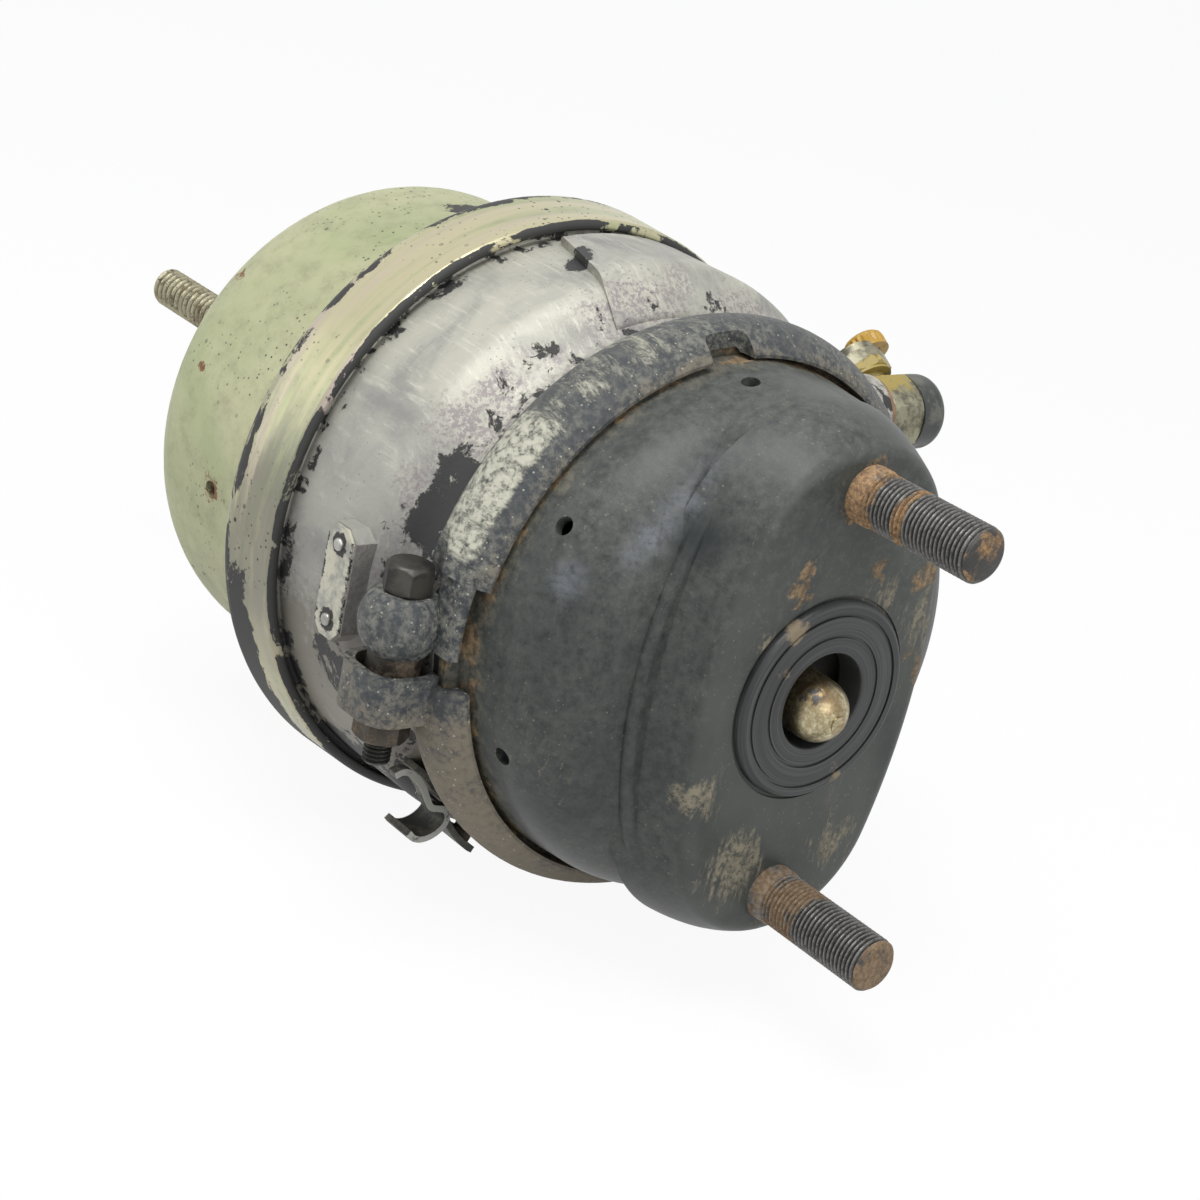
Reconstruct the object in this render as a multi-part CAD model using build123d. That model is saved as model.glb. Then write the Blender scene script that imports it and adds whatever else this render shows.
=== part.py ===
from build123d import *
import math
import os

# Combined service and spring brake chamber for a commercial-vehicle disc brake, in millimetres.
# +X is the push direction, +Z is up along the line of the two mounting studs, and the origin is the
# centre of the mounting face. "Radius" means distance from the X axis. Clock angles are measured from
# +Y towards +Z, as a revolution about +X turns.

# ---- overall stations along the push axis
mounting_face = 0.0
clamp_plane = -61.5             # rear face of the service housing's flange
crimp_rear = -158.0             # rear face of the crimped joint
cup_rear = -238.5               # closed end of the spring housing
snug = 0.1                      # between nested pieces

# ---- service housing (pressed steel bowl with an oval mounting land)
housing_wall = 3.0
bowl_radius = 79.8
bowl_front_radius = bowl_radius - 1.8
bowl_taper_end = -44.0
bowl_shoulder = 26.0
bowl_front = -18.0
step_front = -15.5              # ledge round the land
step_half_width = 52.5
step_half_height = 77.5
step_end_radius = 44.0
land_half_width = 41.0          # flat mounting land
land_half_height = 72.5
land_end_radius = 36.0
land_foot = -22.0
land_flare = 11.0               # how much wider the land is at its foot
land_edge = 5.0
joint_flange_radius = bowl_radius + 4.2
joint_flange_thickness = 3.0
guide_hole_radius = 24.0
seal_recess_depth = 0.8
vent_radius = 2.7
vent_station = -41.0
vent_count = 7
vent_first_angle = 98.5

# ---- mounting studs
stud_spacing = 120.65
stud_radius = 8.0
stud_neck_radius = 8.4          # pressed into the wall, flush with the land
stud_length = 44.0
stud_head_radius = 12.0
stud_head_thickness = 6.0

# ---- face seal and dust boot
seal_radius = 29.5
seal_bore = 14.3
seal_proud = 2.2
seal_lip = 3.0
seal_grooves = (25.8, 19.6)     # radii of two shallow rings in the seal's face
seal_groove_half = 0.5
boot_wall = 1.6
boot_length = 38.0
boot_folds = 3
boot_crest_radius = 23.0
boot_root_radius = 14.6

# ---- pushrod group
rod_radius = 9.15
rod_pivot = -70.0
rod_reach = 79.6                # pivot to tip
rod_sag = 2.5                   # degrees that the loose rod hangs below the push axis
rod_ball_radius = 10.5
ball_clearance = 0.15
socket_mouth_play = 0.7         # lets the rod swing in the socket's mouth
rod_nub_radius = 2.4            # raised centre mark on the tip
rod_nub_height = 0.3
socket_radius = 16.0
socket_front = -65.5
push_plate_radius = bowl_radius - 25.8
push_plate_thickness = 3.0
return_wire = 3.6
return_rear_radius = 42.0
return_front_radius = 32.0
return_coils = 4.5

# ---- service diaphragm and centre partition
diaphragm_thickness = 3.0
diaphragm_web_front = -85.0
partition_front = -92.0
partition_rear = -98.0
hub_radius = 24.0
hub_rear = -115.0

# ---- flange casing (cast aluminium)
barrel_radius = bowl_radius + 10.4
barrel_front = -96.0
neck_radius = bowl_radius
neck_rear = -84.0
casing_flange_thickness = 6.5
parking_bore_radius = barrel_radius - 8.2
dish_radius = bowl_radius - 2.8
diaphragm_wall_radius = dish_radius - 4.0
pad_height = 3.0                # raised port field on the upper right
pad_first_angle = 8.0
pad_last_angle = 112.0
pad_step_rear = 99.0            # clock angles of the step at the field's end
pad_step_front = 107.0
pad_rear = -128.0
pad_trim = 40.0                 # reach of the cut that forms the step

# ---- spring housing (deep drawn steel cup with a crimped rim)
cup_radius = barrel_radius - 9.25
cup_wall = 2.8
cup_corner = 26.5
rim_radius = barrel_radius + 6.6
rim_front = -131.0
rim_lip_radius = barrel_radius + 2.2
rim_wall = 2.8
cup_hole_radius = 14.6
cup_vent_radius = 2.6
cup_vent_station = -190.0
cup_vent_angle = 186.0

# ---- clamp ring in two halves
clamp_front = -51.0
clamp_rear = -76.5
clamp_edge_radius = joint_flange_radius - 2.5
clamp_crown_radius = joint_flange_radius + 4.7
clamp_bore_radius = joint_flange_radius - 3.9
clamp_seat_radius = joint_flange_radius + 0.3
clamp_bolt_station = -71.0
clamp_bolt_offset = joint_flange_radius + 7.6
clamp_upper_angle = 11.5        # where the full band ends above the bolts
clamp_lower_angle = 10.0
clamp_arm_radius = joint_flange_radius + 3.0
clamp_arm_front = -53.0
clamp_arm_rear = -72.0
clamp_arm_drop = 3.0            # degrees that the arm runs below the clamp's middle
clamp_arm_lap = 3.0             # degrees that the arm runs into the band
lug_radius = 12.0
lug_top = 9.5
lug_bottom = -8.0
cup_lug_top = -12.0
cup_lug_bottom = -26.0
cup_lug_wall = 2.6
notch_angle = 97.0
notch_width = 15.0
notch_depth = 6.0

# ---- clamp fasteners, M8
clamp_bolt_radius = 4.0
clamp_hex = 14.0
clamp_head_height = 10.0
clamp_nut_height = 8.0
clamp_bolt_tail = 8.0
sleeve_radius = 7.6
clamp_bolt_play = 0.3           # round the bolt in lugs and sleeves
thread_play = 0.02              # between a nut and its bolt
clamp_hex_clear = clamp_hex / 2 * 1.16 + 0.8      # clears a turning hexagon

# ---- spring plate group
plate_front = -185.0
plate_thickness = 4.0
plate_radius = cup_radius - 5.95
plate_skirt = 15.0
guide_ring_radius = cup_radius - 3.35
guide_ring_seat = plate_radius - 1.2
guide_ring_rear = plate_front - 12.0
guide_ring_front = plate_front - 6.0
key_hub_radius = 22.0
key_hub_rear = -212.0
key_wall = 3.0
key_cavity_radius = 15.0
adapter_plate_radius = 40.0
adapter_plate_thickness = 4.0
tube_radius = 15.0
tube_wall = 4.0
tube_cap_thickness = 2.4
bush_radius = 19.0
bush_length = 14.0
tube_seal_length = 6.0
retainer_thickness = 2.0
running_fit = 0.05
power_wire = 11.0
power_coils = 3.0
power_rear_radius = 38.0
power_front_radius = 60.0
adapter_wire = 3.2
adapter_coils = 5.0
adapter_rear_radius = 31.0
adapter_front_radius = 35.0

# ---- release bolt, nut and washer
release_radius = 7.0
release_tip = -362.0
release_head_length = 26.0
release_head_width = 13.0
release_head_thickness = 7.0
release_hex = 22.0
release_nut_height = 12.0
release_washer_radius = 20.0
release_washer_thickness = 3.0

# ---- air ports and fittings
service_port = Vector(-89.6, barrel_radius - 0.6, 46.8)      # centre of the spot face, facing +Y
service_duct = Vector(-9.6, 38.0, 10.0)       # from the port's thread into the service chamber
parking_port_station = -116.0
parking_port_angle = -25.0
port_boss_radius = 12.5
port_thread_radius = 8.0
port_thread_depth = 16.0
port_thread_reach = 13.0        # of a fitting below its washer
port_duct_radius = 3.5
port_washer = 1.2
port_washer_radius = 11.4
service_boss_depth = 28.0
parking_seat_height = 9.0       # above the barrel
parking_duct_depth = 26.0
parking_hex_length = 10.0
parking_neck_length = 7.0
parking_neck_radius = 9.6
parking_line_radius = 6.1       # for a 12 mm air line
parking_line_depth = 9.0
fitting_hex = 22.0
fitting_hex_length = 13.0
fitting_cap_length = 11.0
fitting_cap_radius = 11.9
elbow_direction = Vector(-0.85, 0.0, 0.53)
elbow_hex = 17.0
elbow_root = 12.0               # along the leg from the body's axis to its shoulder
elbow_hex_length = 7.0
elbow_neck = 3.0
elbow_pipe_radius = 5.8
elbow_end_radius = 7.6
collet_length = 6.0
collet_radius = 7.0
tube_bore_radius = 4.05         # for an 8 mm air line
elbow_rise = 6.8                # of the elbow's leg above the sealing washer

# ---- nameplate
nameplate_station = -100.0
nameplate_width = 12.0
nameplate_height = 33.0
nameplate_thickness = 0.8
nameplate_seat = barrel_radius + 3.8
nameplate_margin = 0.6          # of its boss round the plate
nameplate_boss_depth = 12.0
rivet_radius = 1.9
rivet_shank_radius = 1.2
rivet_head_height = 1.2
rivet_inset = 5.2               # from the plate's end

# ---- hose clip on the casing
clip_station = -84.0
clip_width = 12.0
clip_thickness = 2.0
clip_angle = 239.5
clip_seat_radius = neck_radius + 7.3
clip_reach = 12.5               # of the outer leaf from the seat
clip_mouth = 8.5                # opening between the two leaves
clip_rivet_radius = 2.5
clip_rivet_depth = 9.0
clip_head_radius = 3.8
clip_head_height = 2.2

# ---- sizes worked out from the above
casing_flange_front = clamp_plane - diaphragm_thickness
casing_flange_rear = casing_flange_front - casing_flange_thickness
diaphragm_web_rear = diaphragm_web_front - diaphragm_thickness
seal_rear = -housing_wall - seal_lip - 1.0
bead_front = crimp_rear + rim_wall + 5.0
cup_inner_radius = cup_radius - cup_wall
cup_inner_rear = cup_rear + cup_wall
diaphragm_back = plate_front + diaphragm_thickness
tube_front = diaphragm_web_rear - 0.2 - tube_cap_thickness
stud_heights = (stud_spacing / 2, -stud_spacing / 2)


# ---- helpers
def outline(corners):
    """Closed profile in the X-radius plane. A corner is (x, radius) or (x, radius, rounding)."""
    face = make_face(Polyline(*[corner[:2] for corner in corners], close=True))
    for corner in corners:
        if len(corner) == 3:
            point = face.vertices().sort_by_distance((corner[0], corner[1], 0))[0]
            face = fillet(point, corner[2])
    return face


def turned(corners):
    """Solid of revolution about the push axis."""
    return revolve(outline(corners), Axis.X, 360)


def ring(rear, front, inner, outer):
    """Plain ring about the push axis."""
    return turned([(rear, inner), (front, inner), (front, outer), (rear, outer)])


def rod_between(start, end, radius):
    """Round bar from one point to another."""
    start, end = Vector(*start), Vector(*end)
    plane = Plane(origin=start, z_dir=end - start)
    return extrude(plane * Circle(radius), (end - start).length)


def hex_between(start, end, across_flats):
    """Hexagonal bar from one point to another, with both ends chamfered."""
    start, end = Vector(*start), Vector(*end)
    plane = Plane(origin=start, z_dir=end - start)
    length = (end - start).length
    bar = extrude(plane * RegularPolygon(across_flats / 2, 6, major_radius=False), length)
    chamfer_cone = across_flats / 2 * 1.03
    barrel = plane * Pos(0, 0, length / 2) * chamfer(
        Cylinder(across_flats / 2 * 1.16, length).edges().filter_by(GeomType.CIRCLE),
        across_flats / 2 * 1.16 - chamfer_cone,
    )
    return bar & barrel


def radial_point(station, radius, angle):
    """Point at a clock angle from +Y towards +Z."""
    turn = math.radians(angle)
    return Vector(station, radius * math.cos(turn), radius * math.sin(turn))


def across(station):
    """Plane square to the push axis, with local x along +Y and local y along +Z."""
    return Plane(origin=(station, 0, 0), x_dir=(0, 1, 0), z_dir=(1, 0, 0))


def oval(station, half_width, half_height, end_radius):
    """Oval of four tangent arcs: two bowed sides and two rounder ends."""
    rise = half_height - end_radius
    side_radius = (half_width**2 + rise**2 - end_radius**2) / (2 * (half_width - end_radius))
    side_centre = half_width - side_radius
    reach = math.hypot(side_centre, rise)
    tangent_y = -side_centre / reach * end_radius
    tangent_z = rise + rise / reach * end_radius
    arcs = [
        ThreePointArc((tangent_y, -tangent_z), (half_width, 0), (tangent_y, tangent_z)),
        ThreePointArc((tangent_y, tangent_z), (0, half_height), (-tangent_y, tangent_z)),
        ThreePointArc((-tangent_y, tangent_z), (-half_width, 0), (-tangent_y, -tangent_z)),
        ThreePointArc((-tangent_y, -tangent_z), (0, -half_height), (tangent_y, -tangent_z)),
    ]
    return across(station) * make_face(arcs)


def coil(rear, front, rear_radius, front_radius, wire, coils):
    """Conical spring about the push axis between two seats, with ends cut flat on them."""
    height = front - rear - wire
    taper = math.degrees(math.atan((front_radius - rear_radius) / height))
    path = Helix(height / coils, height, rear_radius, cone_angle=taper)
    section = Plane(origin=path @ 0, z_dir=path % 0) * Circle(wire / 2)
    wound = sweep(section, path=path, is_frenet=True)
    return Plane(origin=(rear + wire / 2, 0, 0), z_dir=(1, 0, 0)) * wound


def gather(*solids):
    """Identical loose pieces kept as separate solids of one node."""
    return Compound(children=list(solids))


# ---- service side
def housing_form(inset):
    """Filled form of the service housing, shrunk by inset for its inside."""
    rear = clamp_plane - (1.0 if inset else 0.0)
    bowl = turned([
        (rear, 0),
        (rear, bowl_radius - inset),
        (bowl_taper_end, bowl_front_radius - inset),
        (bowl_front - inset, bowl_front_radius - inset, bowl_shoulder - inset),
        (bowl_front - inset, 0),
    ])
    step = loft([
        oval(bowl_taper_end - 8, step_half_width - inset, bowl_radius - inset, step_end_radius - inset),
        oval(step_front - inset, step_half_width - inset, step_half_height - inset, step_end_radius - inset),
    ])
    step = fillet(step.faces().sort_by(Axis.X)[-1].edges(), 2.5)
    sections = []
    for rise in (0.0, 0.25, 0.5, 0.75, 1.0):
        station = land_foot + rise * (mounting_face - land_foot) - inset
        spread = land_flare * (1 - rise) ** 2 - inset
        height = land_half_height + (bowl_radius - land_half_height) * (1 - rise**2) - inset
        sections.append(oval(station, land_half_width + spread, height, land_end_radius + spread))
    land = loft(sections)
    land = fillet(land.faces().sort_by(Axis.X)[-1].edges(), land_edge)
    return bowl + step + land


def service_housing():
    """Pressed bowl: round at the clamp, oval and stepped at the mounting land."""
    shell = housing_form(0) - housing_form(housing_wall)
    shell += ring(clamp_plane, clamp_plane + joint_flange_thickness, bowl_radius - housing_wall,
                  joint_flange_radius)
    shell -= ring(-housing_wall - 1, 1, 0, guide_hole_radius)
    shell -= ring(-seal_recess_depth, 1, 0, seal_radius + 1.2)
    for height in stud_heights:
        shell -= rod_between((-housing_wall - 1, 0, height), (1, 0, height), stud_neck_radius)
    for number in range(vent_count):
        angle = vent_first_angle + number * 360 / vent_count
        shell -= rod_between(radial_point(vent_station, bowl_radius - 8, angle),
                             radial_point(vent_station, bowl_radius + 4, angle), vent_radius)
    return shell


def mounting_studs():
    """Two M16 studs, pressed through from inside and welded at the land."""
    studs = []
    inside = housing_form(housing_wall)
    for height in stud_heights:
        shank = rod_between((0, 0, height), (stud_length, 0, height), stud_radius)
        shank = chamfer(shank.edges().sort_by(Axis.X)[-1], 1.4)
        neck = rod_between((-housing_wall, 0, height), (0, 0, height), stud_neck_radius)
        head = rod_between((-housing_wall - stud_head_thickness, 0, height), (-housing_wall, 0, height),
                           stud_head_radius)
        head = chamfer(head.edges().sort_by(Axis.X)[0], 1.5) & inside
        studs.append(shank + neck + head)
    return gather(*studs)


def face_seal():
    """Rubber ring snapped into the land's centre hole, sealing on the caliper."""
    seal = turned([
        (-seal_recess_depth, seal_radius),
        (seal_proud, seal_radius, 1.6),
        (seal_proud, seal_bore, 0.8),
        (seal_rear, seal_bore),
        (seal_rear, guide_hole_radius + seal_lip, 1.0),
        (-housing_wall, guide_hole_radius + seal_lip),
        (-housing_wall, guide_hole_radius),
        (-seal_recess_depth, guide_hole_radius),
    ])
    for radius in seal_grooves:
        seal -= ring(seal_proud - seal_groove_half, seal_proud + 1, radius - seal_groove_half,
                     radius + seal_groove_half)
    return seal


def dust_boot():
    """Bellows from the face seal back to the rod."""
    pitch = boot_length / (2 * boot_folds)
    outer = [(seal_rear, boot_crest_radius - 3)]
    for number in range(2 * boot_folds):
        radius = boot_crest_radius if number % 2 == 0 else boot_root_radius
        outer.append((seal_rear - (number + 0.7) * pitch, radius))
    outer.append((seal_rear - boot_length, boot_root_radius))
    inner = [(x, radius - boot_wall) for x, radius in reversed(outer)]
    return turned(outer + inner)


def push_plate():
    """Pressed disc on the diaphragm with a ball socket for the rod."""
    rear = diaphragm_web_front
    front = rear + push_plate_thickness
    plate = turned([
        (rear, 0),
        (rear, push_plate_radius, 1.2),
        (front, push_plate_radius, 1.2),
        (front, socket_radius + 4),
        (front + 5, socket_radius, 3),
        (socket_front, socket_radius, 1.5),
        (socket_front, 0),
    ])
    cavity = Pos(rod_pivot, 0, 0) * Sphere(rod_ball_radius + ball_clearance)
    throat = rod_between((rod_pivot, 0, 0), (socket_front + 1, 0, 0), rod_radius + socket_mouth_play)
    return plate - cavity - throat


def pushrod():
    """Rod with a ball foot and a domed tip, hanging a little below the push axis."""
    dome_centre = rod_reach - rod_radius
    profile = make_face([
        Line((0, 0), (0, rod_ball_radius)),
        RadiusArc((0, rod_ball_radius), (math.sqrt(rod_ball_radius**2 - rod_radius**2), rod_radius),
                  rod_ball_radius),
        Line((math.sqrt(rod_ball_radius**2 - rod_radius**2), rod_radius), (dome_centre, rod_radius)),
        RadiusArc((dome_centre, rod_radius), (rod_reach, 0), rod_radius),
        Line((rod_reach, 0), (0, 0)),
    ])
    rod = revolve(profile, Axis.X, 360)
    rod += Sphere(rod_ball_radius)
    rod += rod_between((rod_reach - 2, 0, 0), (rod_reach + rod_nub_height, 0, 0), rod_nub_radius)
    return Pos(rod_pivot, 0, 0) * Rot(0, rod_sag, 0) * rod


def return_spring():
    """Conical spring that brings the push plate back."""
    return coil(diaphragm_web_front + push_plate_thickness + 0.1, -housing_wall - 0.1,
                return_rear_radius, return_front_radius, return_wire, return_coils)


def service_diaphragm():
    """Rubber diaphragm: bead in the clamp, wall along the casing's dish, flat web."""
    outer = diaphragm_wall_radius
    thick = diaphragm_thickness
    return turned([
        (clamp_plane, joint_flange_radius - 0.4),
        (clamp_plane, outer - thick, 4),
        (diaphragm_web_front, outer - thick - 8, 7),
        (diaphragm_web_front, 0),
        (diaphragm_web_rear, 0),
        (diaphragm_web_rear, outer - 6, 9),
        (casing_flange_front, outer + 1, 2),
        (casing_flange_front, joint_flange_radius - 0.4),
    ])


# ---- flange casing
def flange_casing():
    """Casting between the two chambers: barrel, neck, clamp flange, partition and hub."""
    body = turned([
        (bead_front, parking_bore_radius),
        (partition_rear - 12, parking_bore_radius - 2),
        (partition_rear, parking_bore_radius - 14, 8),
        (partition_rear, hub_radius + 1, 4),
        (hub_rear, hub_radius, 1.5),
        (hub_rear, bush_radius),
        (partition_front, bush_radius),
        (partition_front, dish_radius - 8, 10),
        (casing_flange_front - 15, dish_radius - 2.5),
        (casing_flange_front, dish_radius, 2),
        (casing_flange_front, joint_flange_radius),
        (casing_flange_rear, joint_flange_radius, 0.8),
        (casing_flange_rear - 2, neck_radius, 1.5),
        (neck_rear, neck_radius, 9),
        (barrel_front, barrel_radius, 12),
        (rim_front - rim_wall, barrel_radius, 0.6),
        (rim_front - rim_wall, rim_radius - rim_wall - snug, 0.8),
        (bead_front, rim_radius - rim_wall - snug, 0.8),
    ])
    body += port_field()
    body += service_boss()
    body += parking_boss()
    body += nameplate_boss()
    body += clip_boss()
    bore = [
        rod_between(service_port, service_port - Vector(0, port_thread_depth, 0), port_thread_radius),
        rod_between(service_port - Vector(0, port_thread_depth / 2, 0), service_port - service_duct,
                    port_duct_radius),
    ]
    seat = parking_seat()
    inward = radial_point(0, -1, parking_port_angle)
    bore.append(rod_between(seat, seat + inward * port_thread_depth, port_thread_radius))
    bore.append(rod_between(seat, seat + inward * parking_duct_depth, port_duct_radius))
    bore.append(rod_between(radial_point(clip_station, clip_seat_radius, clip_angle),
                            radial_point(clip_station, clip_seat_radius - clip_rivet_depth, clip_angle),
                            clip_rivet_radius))
    for cut in bore:
        body -= cut
    return body


def port_field():
    """Raised field on the barrel that carries the ports, ending in a step near the top."""
    strip = outline([
        (pad_rear, barrel_radius - 3),
        (pad_rear, barrel_radius + pad_height, 2),
        (barrel_front - 2, barrel_radius + pad_height, 6),
        (neck_rear - 1, neck_radius + 2, 3),
        (neck_rear - 1, neck_radius - 2),
        (barrel_front - 6, barrel_radius - 8),
    ])
    turn = Rot(pad_first_angle, 0, 0)
    field = revolve(turn * strip, Axis.X, pad_last_angle - pad_first_angle)
    rear = radial_point(pad_rear, barrel_radius, pad_step_rear)
    front = radial_point(neck_rear, barrel_radius, pad_step_front)
    outward = radial_point(0, 1, (pad_step_rear + pad_step_front) / 2)
    beyond = Plane(origin=(rear + front) / 2, x_dir=front - rear, z_dir=(front - rear).cross(outward))
    return field - extrude(beyond * Rectangle(2 * pad_trim, pad_trim), pad_trim)


def service_boss():
    """Boss with a spot face towards +Y for the service port."""
    inside = service_port - Vector(0, service_boss_depth, 0)
    boss = rod_between(inside, service_port, port_boss_radius)
    boss = chamfer(boss.edges().sort_by(Axis.Y)[-1], 1.2)
    return boss - ring(bead_front, clamp_plane, 0, neck_radius - 2)


def parking_seat():
    """Centre of the spring brake port's sealing face."""
    return radial_point(parking_port_station, barrel_radius + parking_seat_height, parking_port_angle)


def parking_boss():
    """Boss for the spring brake port, low on the same side."""
    root = radial_point(parking_port_station, barrel_radius - 5, parking_port_angle)
    return rod_between(root, parking_seat(), port_boss_radius)


def nameplate_boss():
    """Flat pad with chamfered ends on the -Y side."""
    plane = Plane(origin=(nameplate_station, -nameplate_seat, 0), x_dir=(1, 0, 0), z_dir=(0, -1, 0))
    pad = Rectangle(nameplate_width + 2 * nameplate_margin, nameplate_height + 2 * nameplate_margin)
    pad = chamfer(pad.vertices(), 3.4)
    boss = extrude(plane * pad, -nameplate_boss_depth)
    return boss - ring(bead_front, clamp_plane, 0, parking_bore_radius + 4)


def clip_boss():
    """Small seat on the neck for the hose clip."""
    return rod_between(radial_point(clip_station, neck_radius - 3, clip_angle),
                       radial_point(clip_station, clip_seat_radius, clip_angle), clip_head_radius + 1)


def centre_bush():
    """Guide bush for the push tube."""
    return ring(hub_rear, hub_rear + bush_length, tube_radius + running_fit, bush_radius)


def tube_seal():
    """Lip seal in front of the bush."""
    rear = hub_rear + bush_length
    front = rear + tube_seal_length
    return turned([
        (rear, tube_radius + running_fit),
        (rear + 1.5, tube_radius + running_fit),
        (rear + 2.5, tube_radius + 1.2),
        (front - 1, tube_radius + running_fit),
        (front, tube_radius + 1.0),
        (front, bush_radius),
        (rear, bush_radius),
    ])


def seal_retainer():
    """Pressed washer that keeps the lip seal in the hub."""
    rear = hub_rear + bush_length + tube_seal_length
    return ring(rear, rear + retainer_thickness, tube_radius + 1.0, bush_radius)


# ---- spring side
def spring_housing():
    """Deep drawn cup, flared and crimped round the casing's rim."""
    cup = turned([
        (cup_rear, cup_hole_radius),
        (cup_rear, cup_radius, cup_corner),
        (crimp_rear, cup_radius, 6),
        (crimp_rear, rim_radius, 5.5),
        (rim_front, rim_radius - 1.2, 2.2),
        (rim_front, rim_lip_radius, 0.8),
        (rim_front - rim_wall + 0.05, rim_lip_radius, 0.8),
        (rim_front - rim_wall + 0.05, rim_radius - rim_wall),
        (crimp_rear + rim_wall, rim_radius - rim_wall, 2.5),
        (crimp_rear + rim_wall, cup_inner_radius, 8.8),
        (cup_inner_rear, cup_inner_radius, cup_corner - cup_wall),
        (cup_inner_rear, cup_hole_radius),
    ])
    vent = rod_between(radial_point(cup_vent_station, cup_radius - 8, cup_vent_angle),
                       radial_point(cup_vent_station, cup_radius + 4, cup_vent_angle), cup_vent_radius)
    return cup - vent


def parking_diaphragm():
    """Second diaphragm: bead in the crimp, wall along the cup, web on the spring plate."""
    outer = cup_inner_radius - 0.5
    thick = diaphragm_thickness
    rear = crimp_rear + rim_wall
    return turned([
        (rear, rim_radius - rim_wall - 3),
        (bead_front, rim_radius - rim_wall - 3),
        (bead_front, outer - thick, 6),
        (diaphragm_back, outer - thick - 4, 8),
        (diaphragm_back, 0),
        (plate_front, 0),
        (plate_front, outer - 3, 10),
        (rear, outer, 9.3),
    ])


def spring_plate():
    """Dished plate behind the diaphragm, with a skirt and a keyed hub for the release bolt."""
    rear = plate_front - plate_thickness
    plate = turned([
        (plate_front, 0),
        (plate_front, plate_radius, 5),
        (plate_front - plate_skirt, plate_radius, 0.8),
        (plate_front - plate_skirt, plate_radius - plate_thickness, 0.8),
        (rear, plate_radius - plate_thickness, 3),
        (rear, key_hub_radius + 2, 4),
        (key_hub_rear, key_hub_radius, 1.5),
        (key_hub_rear, key_cavity_radius - 1),
        (key_hub_rear, 0),
    ])
    plate -= ring(key_hub_rear + key_wall, plate_front - plate_thickness, 0, key_cavity_radius)
    slot = across(key_hub_rear - 1) * Rectangle(release_head_width + 1.5, release_head_length + 1.5)
    plate -= extrude(slot, key_wall + 2)
    plate -= ring(key_hub_rear - 1, key_hub_rear + key_wall + 1, 0, release_radius + 0.8)
    groove = ring(guide_ring_rear, guide_ring_front, guide_ring_seat, plate_radius + 1)
    return plate - groove


def plate_guide_ring():
    """Plastic band that guides the spring plate in the cup."""
    return ring(guide_ring_rear + snug, guide_ring_front - snug, guide_ring_seat, guide_ring_radius)


def release_bolt():
    """Long screw with a T head turned crosswise in the hub."""
    head_rear = key_hub_rear + key_wall
    head = extrude(across(head_rear) * Rectangle(release_head_length, release_head_width),
                   release_head_thickness)
    head &= ring(head_rear, head_rear + release_head_thickness, 0, release_head_length / 2)
    shank = rod_between((head_rear + 1, 0, 0), (release_tip, 0, 0), release_radius)
    shank = chamfer(shank.edges().sort_by(Axis.X)[0], 1.6)
    return head + shank


def release_washer():
    """Flat washer on the end of the cup."""
    return ring(cup_rear - release_washer_thickness, cup_rear, release_radius + 0.5, release_washer_radius)


def release_nut():
    """Hexagon nut that draws the release bolt out."""
    front = cup_rear - release_washer_thickness - 0.1
    nut = hex_between((front - release_nut_height, 0, 0), (front, 0, 0), release_hex)
    return nut - ring(front - release_nut_height - 1, front + 1, 0, release_radius + 0.1)


def power_spring():
    """Heavy conical spring between the cup and the spring plate."""
    return coil(cup_inner_rear + 0.1, plate_front - plate_thickness - 0.1, power_rear_radius,
                power_front_radius, power_wire, power_coils)


def adapter_plate():
    """Disc on the front of the spring brake diaphragm, with a spigot for the tube."""
    rear = diaphragm_back
    return turned([
        (rear, 0),
        (rear, adapter_plate_radius, 1.5),
        (rear + adapter_plate_thickness, adapter_plate_radius, 1.5),
        (rear + adapter_plate_thickness, tube_radius - tube_wall),
        (rear + adapter_plate_thickness + 10, tube_radius - tube_wall, 1.5),
        (rear + adapter_plate_thickness + 10, 0),
    ])


def push_tube():
    """Steel tube that carries the spring force through the partition."""
    return ring(diaphragm_back + adapter_plate_thickness, tube_front, tube_radius - tube_wall, tube_radius)


def tube_cap():
    """Rounded pad pressed into the front of the push tube."""
    return turned([
        (tube_front - 8, 0),
        (tube_front, 0),
        (tube_front + tube_cap_thickness, 0),
        (tube_front + tube_cap_thickness, tube_radius - 0.5, 1.4),
        (tube_front, tube_radius - 0.5),
        (tube_front, tube_radius - tube_wall),
        (tube_front - 8, tube_radius - tube_wall),
    ])


def adapter_spring():
    """Light spring that takes the push tube back when the spring brake is released."""
    return coil(diaphragm_back + adapter_plate_thickness + 0.1, partition_rear - 0.1,
                adapter_rear_radius, adapter_front_radius, adapter_wire, adapter_coils)


# ---- clamp
def clamp_section():
    """Rounded band with a V groove that pulls the two flanges together."""
    crown = ((clamp_front + clamp_rear) / 2, clamp_crown_radius)
    flange_front = clamp_plane + joint_flange_thickness + 0.3
    return make_face([
        ThreePointArc((clamp_rear, clamp_edge_radius), crown, (clamp_front, clamp_edge_radius)),
        Polyline(
            (clamp_front, clamp_edge_radius),
            (clamp_front, clamp_bore_radius + 0.5),
            (flange_front + 2, clamp_bore_radius + 0.5),
            (flange_front, clamp_seat_radius),
            (casing_flange_rear - 0.3, clamp_seat_radius),
            (casing_flange_rear - 2.4, clamp_bore_radius),
            (clamp_rear, clamp_bore_radius),
            (clamp_rear, clamp_edge_radius),
        ),
    ])


def clamp_arc(first, last):
    """Stretch of the clamp band between two clock angles."""
    return revolve(Rot(first, 0, 0) * clamp_section(), Axis.X, last - first)


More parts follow.
